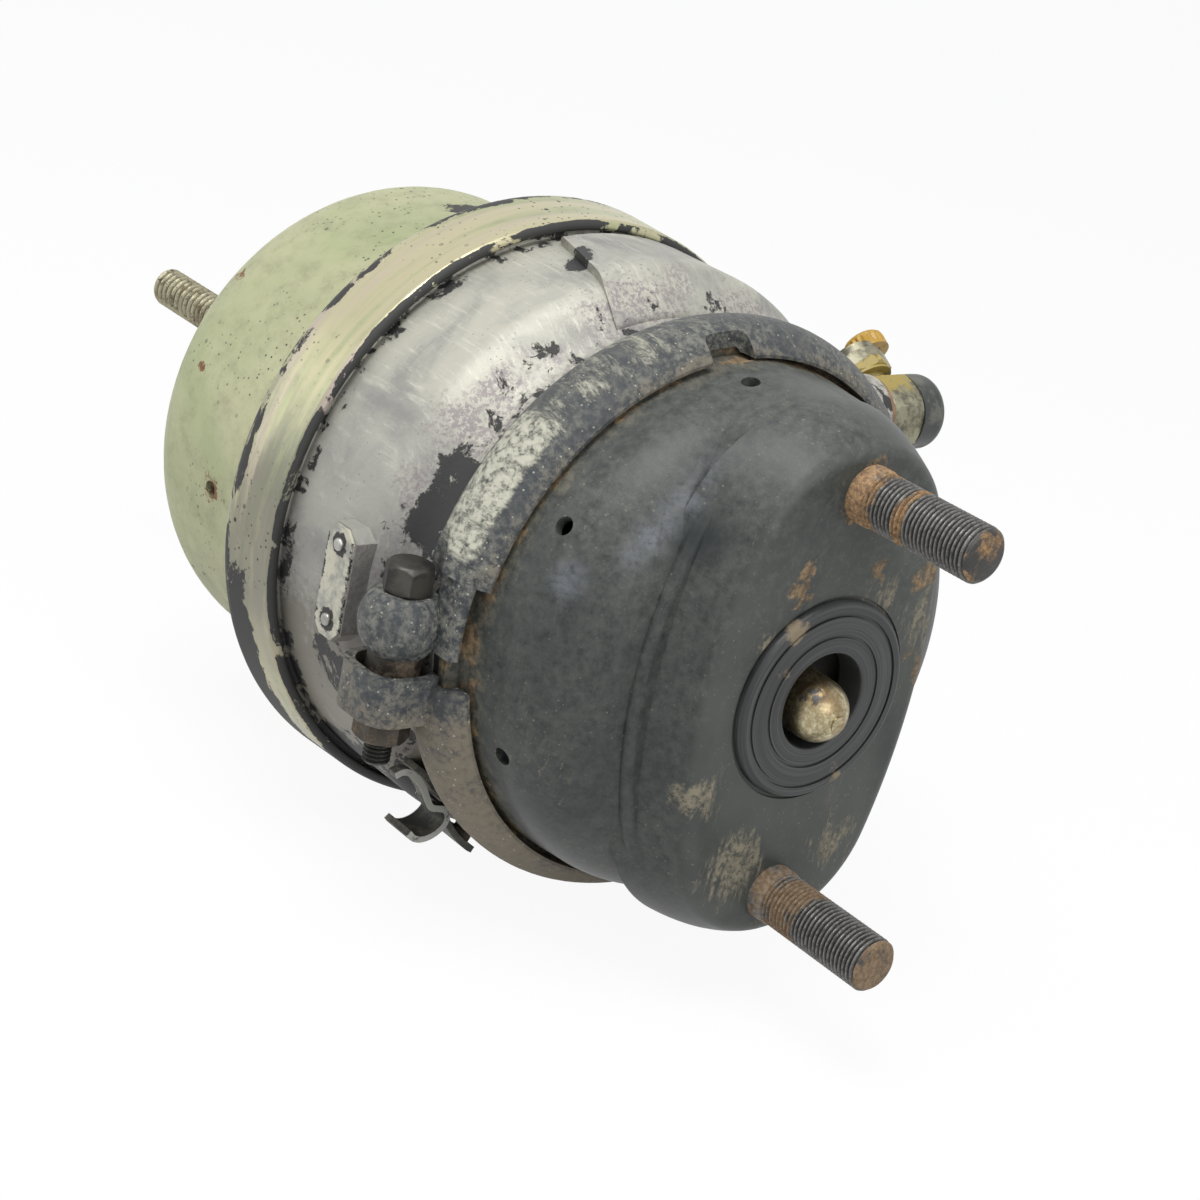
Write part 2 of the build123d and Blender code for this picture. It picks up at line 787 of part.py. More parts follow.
def bolt_line(side, low, high, radius):
    """Upright cylinder on the axis of one clamp bolt."""
    offset = side * clamp_bolt_offset
    return rod_between((clamp_bolt_station, offset, low), (clamp_bolt_station, offset, high), radius)


def clamp_arm(first, last):
    """Thinner stretch in front of the bolt, between the band's end and its lug."""
    arm = outline([
        (clamp_arm_rear, clamp_seat_radius),
        (clamp_arm_rear, clamp_arm_radius, 2.2),
        (clamp_arm_front, clamp_arm_radius, 2.2),
        (clamp_arm_front, clamp_seat_radius),
    ])
    return revolve(Rot(first, 0, 0) * arm, Axis.X, last - first)


def clamp_upper():
    """Upper half: a plain band with a ball-shaped lug at each end and a window at the top."""
    band = clamp_arc(clamp_upper_angle, 180 - clamp_upper_angle)
    reach = clamp_upper_angle + clamp_arm_lap
    band += clamp_arm(-clamp_arm_drop, reach)
    band += clamp_arm(180 - reach, 180 + clamp_arm_drop)
    clear = ring(clamp_rear - 20, clamp_front + 20, 0, clamp_seat_radius + 0.1)
    for side in (-1, 1):
        centre = Vector(clamp_bolt_station, side * clamp_bolt_offset, (lug_top + lug_bottom) / 2)
        lug = Pos(*centre) * Sphere(lug_radius)
        lug &= bolt_line(side, lug_bottom, lug_top, lug_radius + 1)
        band += lug - clear
        band -= bolt_line(side, lug_top, lug_top + 30, clamp_hex_clear)
        band -= bolt_line(side, lug_bottom - 1, lug_top + 1, clamp_bolt_radius + clamp_bolt_play)
        band -= bolt_line(side, lug_bottom - 20, lug_bottom, lug_radius)
    point = radial_point(clamp_front, clamp_bore_radius, notch_angle)
    window = Box(2 * notch_depth, notch_width, 16)
    window = fillet(window.edges().filter_by(Axis.Z), 2.5)
    return band - Pos(*point) * Rot(notch_angle - 90, 0, 0) * window


def clamp_lower():
    """Lower half: the band ends in open cups that hold the spacer sleeves."""
    band = clamp_arc(180 + clamp_lower_angle, 360 - clamp_lower_angle)
    clear = ring(clamp_rear - 20, clamp_front + 20, 0, clamp_seat_radius + 0.1)
    height = cup_lug_top - cup_lug_bottom
    for side in (-1, 1):
        offset = side * clamp_bolt_offset
        middle = (cup_lug_top + cup_lug_bottom) / 2
        block = Box(2 * lug_radius, 2 * lug_radius, height)
        block = fillet(block.edges().filter_by(Axis.Z), lug_radius * 0.7)
        pocket = Box(2 * (lug_radius - cup_lug_wall), 2 * (lug_radius - cup_lug_wall), height)
        pocket = fillet(pocket.edges().filter_by(Axis.Z), lug_radius * 0.55)
        place = Pos(clamp_bolt_station, offset, middle)
        band -= bolt_line(side, cup_lug_bottom - 40, cup_lug_bottom, clamp_hex_clear)
        band += place * block - clear
        band -= Pos(0, 0, cup_lug_wall) * place * pocket
        band -= bolt_line(side, cup_lug_bottom - 1, cup_lug_top, clamp_bolt_radius + clamp_bolt_play)
        band -= bolt_line(side, cup_lug_bottom + cup_lug_wall, lug_bottom, sleeve_radius + snug)
    return band


def clamp_bolts():
    """Two M8 bolts, heads up."""
    bolts = []
    tail = cup_lug_bottom - clamp_nut_height - clamp_bolt_tail
    for side in (-1, 1):
        offset = side * clamp_bolt_offset
        head = hex_between((clamp_bolt_station, offset, lug_top),
                           (clamp_bolt_station, offset, lug_top + clamp_head_height), clamp_hex)
        shank = bolt_line(side, tail, lug_top, clamp_bolt_radius)
        shank = chamfer(shank.edges().sort_by(Axis.Z)[0], 1.0)
        bolts.append(head + shank)
    return gather(*bolts)


def clamp_nuts():
    """Nuts under the lower lugs."""
    nuts = []
    low = cup_lug_bottom - clamp_nut_height
    for side in (-1, 1):
        offset = side * clamp_bolt_offset
        nut = hex_between((clamp_bolt_station, offset, low), (clamp_bolt_station, offset, cup_lug_bottom),
                          clamp_hex)
        nuts.append(nut - bolt_line(side, low - 1, cup_lug_bottom + 1, clamp_bolt_radius + thread_play))
    return gather(*nuts)


def clamp_sleeves():
    """Spacer sleeves that stop the clamp closing too far."""
    sleeves = []
    low = cup_lug_bottom + cup_lug_wall
    for side in (-1, 1):
        sleeve = bolt_line(side, low, lug_bottom, sleeve_radius)
        bore_radius = clamp_bolt_radius + clamp_bolt_play
        sleeves.append(sleeve - bolt_line(side, low - 1, lug_bottom + 1, bore_radius))
    return gather(*sleeves)


# ---- fittings, nameplate and clip
def port_washers():
    """Sealing washers under both fittings."""
    seat = parking_seat()
    outward = radial_point(0, 1, parking_port_angle)
    washers = []
    for start, direction in ((service_port, Vector(0, 1, 0)), (seat, outward)):
        end = start + direction * port_washer
        washer = rod_between(start, end, port_washer_radius)
        washers.append(washer - rod_between(start, end, port_thread_radius + snug))
    return gather(*washers)


def service_fitting():
    """Hexagon body screwed into the service port, with an elbow leg."""
    y_dir = Vector(0, 1, 0)
    base = service_port + y_dir * port_washer
    body = hex_between(base, base + y_dir * fitting_hex_length, fitting_hex)
    body += rod_between(base - y_dir * port_thread_reach, base, port_thread_radius)
    root, leg, shoulder, socket = elbow_line()
    body += rod_between(root, root + leg * (elbow_root + 1), elbow_pipe_radius)
    body += rod_between(root + leg * elbow_root, shoulder + leg, elbow_hex / 2)
    body += hex_between(shoulder + leg, socket - leg * elbow_neck, elbow_hex)
    body += rod_between(socket - leg * elbow_neck, socket, elbow_end_radius)
    return body - rod_between(socket - leg * elbow_hex_length, socket, tube_bore_radius)


def elbow_line():
    """Root, direction, shoulder and socket end of the elbow's leg."""
    leg = elbow_direction.normalized()
    root = service_port + Vector(0, port_washer + elbow_rise, 0)
    shoulder = root + leg * elbow_root
    return root, leg, shoulder, shoulder + leg * (1 + elbow_hex_length + elbow_neck)


def fitting_cap():
    """Rounded cap on the end of the service fitting."""
    start = service_port + Vector(0, port_washer + fitting_hex_length, 0)
    cap = rod_between(start, start + Vector(0, fitting_cap_length, 0), fitting_cap_radius)
    return fillet(cap.edges().sort_by(Axis.Y)[-1], 4.0)


def elbow_collet():
    """Release ring of the push-in connection on the elbow."""
    leg, socket = elbow_line()[1::2]
    collet = rod_between(socket, socket + leg * collet_length, collet_radius)
    collet = fillet(collet.faces().sort_by(Axis.X)[0].edges(), 2.0)
    return collet - rod_between(socket - leg, socket + leg * (collet_length + 1), tube_bore_radius)


def parking_fitting():
    """Straight push-in connector in the spring brake port."""
    outward = radial_point(0, 1, parking_port_angle)
    base = parking_seat() + outward * port_washer
    shoulder = base + outward * parking_hex_length
    end = shoulder + outward * parking_neck_length
    body = hex_between(base, shoulder, fitting_hex)
    body += rod_between(base - outward * port_thread_reach, base, port_thread_radius)
    body += rod_between(shoulder, end, parking_neck_radius)
    return body - rod_between(end - outward * parking_line_depth, end, parking_line_radius)


def nameplate():
    """Blank plate with chamfered ends."""
    plane = Plane(origin=(nameplate_station, -nameplate_seat, 0), x_dir=(1, 0, 0), z_dir=(0, -1, 0))
    plate = chamfer(Rectangle(nameplate_width, nameplate_height).vertices(), 3.2)
    solid = extrude(plane * plate, nameplate_thickness)
    for rivet in rivet_places():
        solid -= rod_between(rivet, rivet - Vector(0, 2, 0), rivet_shank_radius)
    return solid


def rivet_places():
    """Centres of the two rivets on the boss."""
    reach = nameplate_height / 2 - rivet_inset
    return [Vector(nameplate_station, -nameplate_seat, side * reach) for side in (-1, 1)]


def nameplate_rivets():
    """Two drive rivets with domed heads."""
    rivets = []
    for place in rivet_places():
        seat = place - Vector(0, nameplate_thickness, 0)
        head = rod_between(seat, seat - Vector(0, rivet_head_height, 0), rivet_radius)
        head = fillet(head.edges().sort_by(Axis.Y)[0], 0.9)
        rivets.append(head + rod_between(place, seat, rivet_shank_radius))
    return gather(*rivets)


def hose_clip():
    """Strip folded back on itself: the inner leaf lies on the casing, the outer one curls up."""
    leaf = [
        (33.0, -2.5), (25.0, -4.6), (17.5, -1.6), (12.0, 1.0), (-6.5, 1.0), (-8.0, 3.6),
        (10.0, clip_reach), (19.0, clip_reach), (25.5, clip_reach - 5.0), (28.0, clip_mouth - 1.5),
    ]
    path = FilletPolyline(*leaf, radius=1.5)
    section = trace(path, clip_thickness)
    seat = radial_point(clip_station - clip_width / 2, clip_seat_radius, clip_angle)
    plane = Plane(origin=seat, x_dir=radial_point(0, 1, clip_angle - 90), z_dir=(1, 0, 0))
    strip = extrude(plane * section, clip_width)
    return strip - rod_between(radial_point(clip_station, clip_seat_radius - 1, clip_angle),
                               radial_point(clip_station, clip_seat_radius + 4, clip_angle),
                               clip_rivet_radius + 0.1)


def clip_rivet():
    """Rivet that holds the clip's inner leaf."""
    seat = clip_seat_radius + clip_thickness
    shank = rod_between(radial_point(clip_station, clip_seat_radius - clip_rivet_depth, clip_angle),
                        radial_point(clip_station, seat, clip_angle), clip_rivet_radius)
    head = rod_between(radial_point(clip_station, seat, clip_angle),
                       radial_point(clip_station, seat + clip_head_height, clip_angle), clip_head_radius)
    return shank + head


makers = [
    service_housing, mounting_studs, face_seal, dust_boot, push_plate, pushrod, return_spring,
    service_diaphragm, flange_casing, centre_bush, tube_seal, seal_retainer, spring_housing,
    parking_diaphragm, spring_plate, plate_guide_ring, release_bolt, release_washer, release_nut,
    power_spring, adapter_plate, push_tube, tube_cap, adapter_spring, clamp_upper, clamp_lower,
    clamp_bolts, clamp_nuts, clamp_sleeves, port_washers, service_fitting, fitting_cap, elbow_collet,
    parking_fitting, nameplate, nameplate_rivets, hose_clip, clip_rivet,
]

os.makedirs("parts", exist_ok=True)
for maker in makers:
    solid = maker()
    export_step(solid, f"parts/{maker.__name__}.step")
    print(maker.__name__, "volume", round(solid.volume), "mm3")
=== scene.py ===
"""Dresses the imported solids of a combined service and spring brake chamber.

Every place is in metres in the frame of the solids: +X is the push direction out of the mounting
land, +Z runs along the line of the mounting studs, and the air ports are on the +Y side. A clock
angle is in degrees from +Y towards +Z.
"""

import logging
import math
from collections.abc import Sequence
from dataclasses import dataclass
from enum import Enum
from typing import Protocol

import bmesh
import bpy
from mathutils import Matrix, Vector


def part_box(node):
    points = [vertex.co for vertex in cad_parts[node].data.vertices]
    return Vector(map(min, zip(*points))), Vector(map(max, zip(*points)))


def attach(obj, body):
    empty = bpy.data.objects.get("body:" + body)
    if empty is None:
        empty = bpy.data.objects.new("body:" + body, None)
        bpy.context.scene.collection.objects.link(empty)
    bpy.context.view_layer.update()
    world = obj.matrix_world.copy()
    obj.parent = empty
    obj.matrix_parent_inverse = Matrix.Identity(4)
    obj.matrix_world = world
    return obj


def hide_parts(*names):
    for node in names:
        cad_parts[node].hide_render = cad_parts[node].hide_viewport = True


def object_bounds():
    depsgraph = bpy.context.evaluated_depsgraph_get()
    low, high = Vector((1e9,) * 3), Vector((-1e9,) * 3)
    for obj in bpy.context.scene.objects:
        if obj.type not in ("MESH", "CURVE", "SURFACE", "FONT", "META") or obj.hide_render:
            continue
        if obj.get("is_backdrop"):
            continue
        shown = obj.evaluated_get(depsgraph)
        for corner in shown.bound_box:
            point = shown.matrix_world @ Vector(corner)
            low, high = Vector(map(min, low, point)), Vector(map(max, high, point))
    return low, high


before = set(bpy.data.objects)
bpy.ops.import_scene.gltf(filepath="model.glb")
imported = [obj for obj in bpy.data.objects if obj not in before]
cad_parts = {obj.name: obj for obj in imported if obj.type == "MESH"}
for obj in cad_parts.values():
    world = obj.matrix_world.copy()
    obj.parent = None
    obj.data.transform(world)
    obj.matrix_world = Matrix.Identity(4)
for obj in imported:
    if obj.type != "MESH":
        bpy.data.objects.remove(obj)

Colour = tuple[float, float, float]
Place = tuple[float, float, float]
Socket = bpy.types.NodeSocket
Value = float | Socket
Shade = Colour | Socket
Patch = tuple[Place, float, float]  # middle, reach and strength of a soft round mark

log = logging.getLogger("brake_chamber")
NODES: dict[str, bpy.types.Object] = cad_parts

CLAMP_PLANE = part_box("service_housing")[0].x  # where the bowl meets the diaphragm
CLAMP_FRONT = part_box("clamp_upper")[1].x
RIM_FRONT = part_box("spring_housing")[1].x
PLATE_LOW, PLATE_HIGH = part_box("nameplate")
STUD_HEIGHT = 0.060325  # of each stud's axis from the push axis
STUD_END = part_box("mounting_studs")[1].x
SCREW_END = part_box("release_bolt")[0].x
CUP_RADIUS = 0.081
WRAP_RADIUS = 0.09  # at which lengths round the push axis are true
WEAR_PULL = 0.40  # how much a full base adds to the noise that breaks it up
SHARP_ANGLE = math.radians(34.0)
SKIN = 1e-6  # the least length or share that counts, below which points are one


class Wear(Enum):
    """How far rust has spread, as a share of the surface."""

    CLEAN = 0.10
    AGED = 0.32
    RUSTY = 0.72


def clock_point(station: float, radius: float, angle: float) -> Place:
    """Gives the point at a station, a distance from the push axis and a clock angle.

    Args:
        station: Place along the push axis.
        radius: Distance from the push axis.
        angle: Clock angle in degrees.

    Returns:
        The point in the frame of the solids.
    """
    turn = math.radians(angle)
    return (station, radius * math.cos(turn), radius * math.sin(turn))


class Graph:
    """Node tree of one finish, with a short method for each kind of node."""

    def __init__(self, name: str) -> None:
        """Starts a finish with a principled shader and no textures.

        Args:
            name: Name of the new material.
        """
        self.material = bpy.data.materials.new(name)
        self.material.use_nodes = True
        self.tree = self.material.node_tree
        self.tree.nodes.clear()
        self.shader = self.add("ShaderNodeBsdfPrincipled")
        self.output = self.add("ShaderNodeOutputMaterial")
        self.tree.links.new(self.shader.outputs[0], self.output.inputs["Surface"])
        self.place: Socket = self.add("ShaderNodeTexCoord").outputs["Object"]
        split = self.add("ShaderNodeSeparateXYZ")
        self.tree.links.new(self.place, split.inputs[0])
        self.x, self.y, self.z = split.outputs[0], split.outputs[1], split.outputs[2]

    def add(self, kind: str, **settings: object) -> bpy.types.Node:
        """Adds one node and sets the given properties on it.

        Args:
            kind: Blender's name for the kind of node.
            settings: Properties to set on it.

        Returns:
            The node.
        """
        node = self.tree.nodes.new(kind)
        for key, value in settings.items():
            setattr(node, key, value)
        return node

    def feed(self, socket: Socket, value: Value | Shade) -> None:
        """Links a socket, or sets a number or a colour, into an input.

        Args:
            socket: Input to feed.
            value: What goes into it.
        """
        if isinstance(value, bpy.types.NodeSocket):
            self.tree.links.new(value, socket)
        elif isinstance(value, tuple) and len(value) == 3 and socket.type == "RGBA":
            socket.default_value = (*value, 1.0)
        else:
            socket.default_value = value

    def surface(self, colour: Shade, rough: Value, metal: Value = 0.0) -> None:
        """Feeds the shader.

        Args:
            colour: Base colour.
            rough: Roughness from 0 to 1.
            metal: Share of bare metal from 0 to 1.
        """
        for name, value in (("Base Color", colour), ("Roughness", rough), ("Metallic", metal)):
            self.feed(self.shader.inputs[name], value)

    def math(self, operation: str, a: Value, b: Value = 0.0, c: Value = 0.0) -> Socket:
        """Adds a math node.

        Args:
            operation: Blender's name for the operation.
            a: First number.
            b: Second number.
            c: Third number.

        Returns:
            The result.
        """
        node = self.add("ShaderNodeMath", operation=operation)
        for socket, value in zip(node.inputs, (a, b, c)):
            self.feed(socket, value)
        return node.outputs[0]

    def step(self, value: Value, low: float, high: float) -> Socket:
        """Gives a smooth rise from 0 to 1 between two limits, or a fall if high is the lower one.

        Args:
            value: Number to follow.
            low: Where the result is 0.
            high: Where the result is 1.

        Returns:
            The mask.
        """
        node = self.add("ShaderNodeMapRange", interpolation_type="SMOOTHSTEP")
        rising = high >= low
        self.feed(node.inputs["Value"], value)
        node.inputs["From Min"].default_value = low if rising else high
        node.inputs["From Max"].default_value = high if rising else low
        node.inputs["To Min"].default_value = 0.0 if rising else 1.0
        node.inputs["To Max"].default_value = 1.0 if rising else 0.0
        return node.outputs[0]

    def folded(self, operation: str, values: Sequence[Value]) -> Value:
        """Joins numbers one after another by an operation.

        Args:
            operation: Blender's name for the operation.
            values: The numbers, at least one.

        Returns:
            The result.
        """
        result = values[0]
        for value in values[1:]:
            result = self.math(operation, result, value)
        return result

    def both(self, *masks: Value) -> Value:
        """Multiplies masks."""
        return self.folded("MULTIPLY", masks)

    def either(self, *masks: Value) -> Value:
        """Gives the greatest of several masks."""
        return self.folded("MAXIMUM", masks)

    def plus(self, *values: Value) -> Value:
        """Adds numbers."""
        return self.folded("ADD", values)

    def inverse(self, mask: Value) -> Socket:
        """Gives one minus a mask."""
        return self.math("SUBTRACT", 1.0, mask)

    def stretched(self, stretch: Sequence[float], turn: Sequence[float] = (0.0, 0.0, 0.0)) -> Socket:
        """Gives the place after a turn and a scaling.

        Args:
            stretch: Factor on each axis.
            turn: Turn about each axis in degrees.

        Returns:
            The coordinates.
        """
        node = self.add("ShaderNodeMapping")
        self.tree.links.new(self.place, node.inputs["Vector"])
        node.inputs["Scale"].default_value = tuple(stretch)
        node.inputs["Rotation"].default_value = tuple(math.radians(part) for part in turn)
        return node.outputs[0]

    def wrapped(self, along: float, around: float) -> Socket:
        """Gives coordinates that run along the push axis, round it and out from it.

        Args:
            along: Factor on the place along the axis.
            around: Factor on the length round it, taken at the wrap radius.

        Returns:
            The coordinates.
        """
        node = self.add("ShaderNodeCombineXYZ")
        self.feed(node.inputs[0], self.math("MULTIPLY", self.x, along))
        self.feed(node.inputs[1], self.math("MULTIPLY", self.lean(), WRAP_RADIUS * around))
        self.feed(node.inputs[2], self.radius())
        return node.outputs[0]

    def noise(self, scale: float, detail: float = 5.0, rough: float = 0.6,
              at: Socket | None = None, twist: float = 0.0) -> Socket:
        """Gives cloudy noise from 0 to 1.

        Args:
            scale: Cells per metre.
            detail: Number of finer layers.
            rough: Strength of the finer layers.
            at: Coordinates to use in place of the plain place.
            twist: Distortion of the clouds.

        Returns:
            The noise value.
        """
        node = self.add("ShaderNodeTexNoise")
        self.tree.links.new(at or self.place, node.inputs["Vector"])
        node.inputs["Scale"].default_value = scale
        node.inputs["Detail"].default_value = detail
        node.inputs["Roughness"].default_value = rough
        node.inputs["Distortion"].default_value = twist
        return node.outputs[0]

    def grains(self, scale: float, at: Socket | None = None) -> Socket:
        """Gives the distance to the nearest of many scattered points.

        Args:
            scale: Points per metre.
            at: Coordinates to use in place of the plain place.

        Returns:
            The distance, in cells.
        """
        node = self.add("ShaderNodeTexVoronoi")
        self.tree.links.new(at or self.place, node.inputs["Vector"])
        node.inputs["Scale"].default_value = scale
        return node.outputs["Distance"]

    def mix(self, mask: Value, a: Shade, b: Shade) -> Socket:
        """Lays colour b over colour a.

        Args:
            mask: Where colour b is, from 0 to 1.
            a: Colour where the mask is 0.
            b: Colour where the mask is 1.

        Returns:
            The mixed colour.
        """
        node = self.add("ShaderNodeMix", data_type="RGBA")
        self.feed(node.inputs[0], mask)
        self.feed(node.inputs[6], a)
        self.feed(node.inputs[7], b)
        return node.outputs[2]

    def blend(self, mask: Value, a: Value, b: Value) -> Socket:
        """Goes from number a to number b with a mask.

        Args:
            mask: How far to go, from 0 to 1.
            a: Number where the mask is 0.
            b: Number where the mask is 1.

        Returns:
            The mixed number.
        """
        node = self.add("ShaderNodeMix", data_type="FLOAT")
        self.feed(node.inputs[0], mask)
        self.feed(node.inputs[2], a)
        self.feed(node.inputs[3], b)
        return node.outputs[0]

    def near(self, point: Sequence[float], reach: float) -> Socket:
        """Gives a mask that is 1 at a point and fades to 0 at the reach.

        Args:
            point: Middle of the patch.
            reach: How far it goes.

        Returns:
            The mask.
        """
        node = self.add("ShaderNodeVectorMath", operation="DISTANCE")
        self.tree.links.new(self.place, node.inputs[0])
        node.inputs[1].default_value = tuple(point)
        return self.step(node.outputs["Value"], reach, 0.0)

    def patches(self, spots: Sequence[Patch]) -> Value:
        """Gives the greatest of several soft patches.

        Args:
            spots: The patches.

        Returns:
            The mask.
        """
        return self.either(*(self.both(self.near(point, reach), share) for point, reach, share in spots))

    def worn(self, base: Value, ragged: Value, level: float, soft: float = 0.05) -> Socket:
        """Gives a ragged mask that fills where the base is strong.

        Args:
            base: Where the wear is, from 0 to 1.
            ragged: Noise that breaks its edge.
            level: How little of it shows.
            soft: Width of its edge.

        Returns:
            The mask.
        """
        return self.step(self.plus(ragged, self.both(base, WEAR_PULL)), level, level + soft)

    def length(self, a: Value, b: Value) -> Socket:
        """Gives the length of the vector (a, b)."""
        return self.math("SQRT", self.plus(self.both(a, a), self.both(b, b)))

    def radius(self) -> Socket:
        """Gives the distance from the push axis."""
        return self.length(self.y, self.z)

    def ringed(self) -> Socket:
        """Gives coordinates that hardly change but with the distance from the push axis.

        Returns:
            The coordinates.
        """
        node = self.add("ShaderNodeCombineXYZ")
        self.feed(node.inputs[0], self.both(self.radius(), 40.0))
        self.feed(node.inputs[1], self.both(self.y, 0.5))
        self.feed(node.inputs[2], self.both(self.z, 0.5))
        return node.outputs[0]

    def stud_gap(self) -> Socket:
        """Gives the distance from the axis of the nearer mounting stud."""
        return self.length(self.y, self.math("SUBTRACT", self.math("ABSOLUTE", self.z), STUD_HEIGHT))

    def lean(self) -> Socket:
        """Gives the angle from the top towards -Y in radians, from minus pi to pi."""
        return self.math("ARCTAN2", self.both(self.y, -1.0), self.z)

    def slab(self, value: Socket, low: float, high: float, soft: float) -> Value:
        """Gives a mask that is 1 between two limits.

        Args:
            value: Number to follow.
            low: Lower limit.
            high: Upper limit.
            soft: Half the width of each edge.

        Returns:
            The mask.
        """
        return self.both(self.step(value, low - soft, low + soft), self.step(value, high + soft, high - soft))

    def sector(self, low: float, high: float, soft: float) -> Value:
        """Gives a mask that is 1 between two leans.

        Args:
            low: Lesser lean from the top towards -Y, in degrees.
            high: Greater lean, in degrees.
            soft: Half the width of each edge, in radians.

        Returns:
            The mask.
        """
        return self.slab(self.lean(), math.radians(low), math.radians(high), soft)

    def bump(self, height: Value, depth: float, strength: float = 1.0) -> None:
        """Gives the shader a relief.

        Args:
            height: Height from 0 to 1.
            depth: Real depth of a height of 1, in metres.
            strength: Strength of the effect.
        """
        node = self.add("ShaderNodeBump")
        node.inputs["Strength"].default_value = strength
        node.inputs["Distance"].default_value = depth
        self.tree.links.new(height, node.inputs["Height"])
        self.tree.links.new(node.outputs[0], self.shader.inputs["Normal"])


class Finish(Protocol):
    """Anything that can make a material."""

    def build(self) -> bpy.types.Material:
        """Makes the material."""


@dataclass(frozen=True)
class BowlPaint:
    """Dark satin paint of the service housing, with dust, smears, fine specks, rust, painted highlight and
    shade.
    """

    name: str = "bowl_paint"
    paint: Colour = (0.013, 0.0165, 0.0175)
    film: Colour = (0.112, 0.118, 0.104)
    dust: Colour = (0.27, 0.235, 0.165)
    # colour of the painted highlight on the fold crests
    painted_highlight: Colour = (0.240, 0.250, 0.300)
    rust: Colour = (0.120, 0.078, 0.042)
    rust_light: Colour = (0.33, 0.235, 0.130)
    gloss: float = 0.36

    def build(self) -> bpy.types.Material:
        """Makes the material.

        Returns:
            The material.
        """
        graph = Graph(self.name)
        cloud = graph.noise(24.0, 6.0, 0.6, twist=0.5)
        fine = graph.noise(420.0, 7.0, 0.72)
        ragged = graph.noise(120.0, 9.0, 0.72, twist=0.4)
        height = graph.blend(graph.step(graph.z, -0.050, 0.065), 0.55, 0.92)
        mottle = graph.noise(300.0, 7.0, 0.75)
        film = graph.both(graph.step(cloud, -0.10, 0.80), graph.step(mottle, 0.16, 0.80), height, 1.35)
        land = graph.step(graph.x, -0.006, -0.001)
        film = graph.either(film, graph.both(land, graph.step(cloud, 0.10, 0.70), 0.62))
        dust = self.dust_mask(graph, ragged, cloud)
        rust = self.rust_mask(graph, ragged)
        colour = graph.mix(graph.both(film, 0.85), self.paint, self.film)
        # painted highlight: a pale bluish reflection laid along the crests of the folds
        colour = graph.mix(self.painted_highlight_mask(graph, mottle), colour, self.painted_highlight)
        # painted shade: the bottom of the fold is darkened back to the bare paint colour
        colour = graph.mix(self.painted_fold_shade_mask(graph), colour, self.paint)
        colour = graph.mix(graph.both(dust, graph.step(fine, 0.36, 0.60), 0.75), colour, self.dust)
        tint = graph.mix(graph.step(fine, 0.35, 0.68), self.rust, self.rust_light)
        colour = graph.mix(graph.both(rust, graph.step(fine, 0.24, 0.50), 0.85), colour, tint)
        covered = graph.either(dust, rust, graph.both(film, 0.5))
        graph.surface(colour, graph.blend(covered, self.gloss, 0.82))
        graph.shader.inputs["Specular IOR Level"].default_value = 0.34
        dents = graph.both(graph.noise(13.0, 2.0, 0.4), 3.0)
        grain = graph.plus(graph.both(mottle, 0.22), graph.both(graph.noise(55.0, 4.0, 0.6), 0.6))
        crusts = graph.plus(graph.both(dust, fine, 0.3), graph.both(rust, fine, 0.7))
        graph.bump(graph.plus(dents, grain, crusts), 0.00045, 0.8)
        return graph.material

    def painted_highlight_mask(self, graph: Graph, mottle: Socket) -> Value:
        """Gives a painted bluish highlight along the crests of the folds.

        Args:
            graph: Node tree to add to.
            mottle: Fine noise that thins the painted highlight.

        Returns:
            The mask.
        """
        crests = [
            ((-0.0241, -0.0342, 0.0596), 0.008, 0.5), ((-0.0236, -0.0383, 0.0563), 0.008, 0.7),
            ((-0.0231, -0.0430, 0.0515), 0.008, 0.9), ((-0.0227, -0.0477, 0.0468), 0.008, 1.0),
            ((-0.0218, -0.0532, 0.0428), 0.008, 0.9), ((-0.0208, -0.0585, 0.0387), 0.008, 0.8),
            ((-0.0195, -0.0625, 0.0340), 0.007, 0.5), ((-0.0320, -0.0700, 0.0275), 0.008, 0.8),
            ((-0.0020, -0.0652, 0.0231), 0.008, 0.5), ((-0.0008, -0.0679, 0.0169), 0.008, 0.5),
            ((0.0, -0.0665, 0.0070), 0.008, 0.4), ((0.0, -0.0665, -0.0030), 0.008, 0.3),
        ]
        streak = graph.noise(60.0, 5.0, 0.6, at=graph.stretched((1.0, 0.35, 2.4), (38.0, 0.0, 0.0)))
        thinned = graph.both(graph.step(streak, 0.28, 0.62), graph.step(mottle, 0.26, 0.56))
        return graph.both(graph.patches(crests), thinned, 0.50)

    def painted_fold_shade_mask(self, graph: Graph) -> Value:
        """Gives painted shade along the bottom of the fold.

        Args:
            graph: Node tree to add to.

        Returns:
            The mask.
        """
        fold_shade_spots = [
            ((-0.0205, -0.0300, 0.0540), 0.011, 0.8), ((-0.0160, -0.0419, 0.0434), 0.012, 1.0),
            ((-0.0110, -0.0510, 0.0375), 0.011, 1.0), ((-0.0063, -0.0579, 0.0318), 0.011, 1.0),
            ((-0.0015, -0.0615, 0.0225), 0.011, 1.0), ((0.0, -0.0622, 0.0120), 0.011, 0.95),
            ((0.0, -0.0622, 0.0010), 0.011, 0.9), ((0.0, -0.0620, -0.0100), 0.011, 0.8),
        ]
        return graph.both(graph.patches(fold_shade_spots), 0.9)

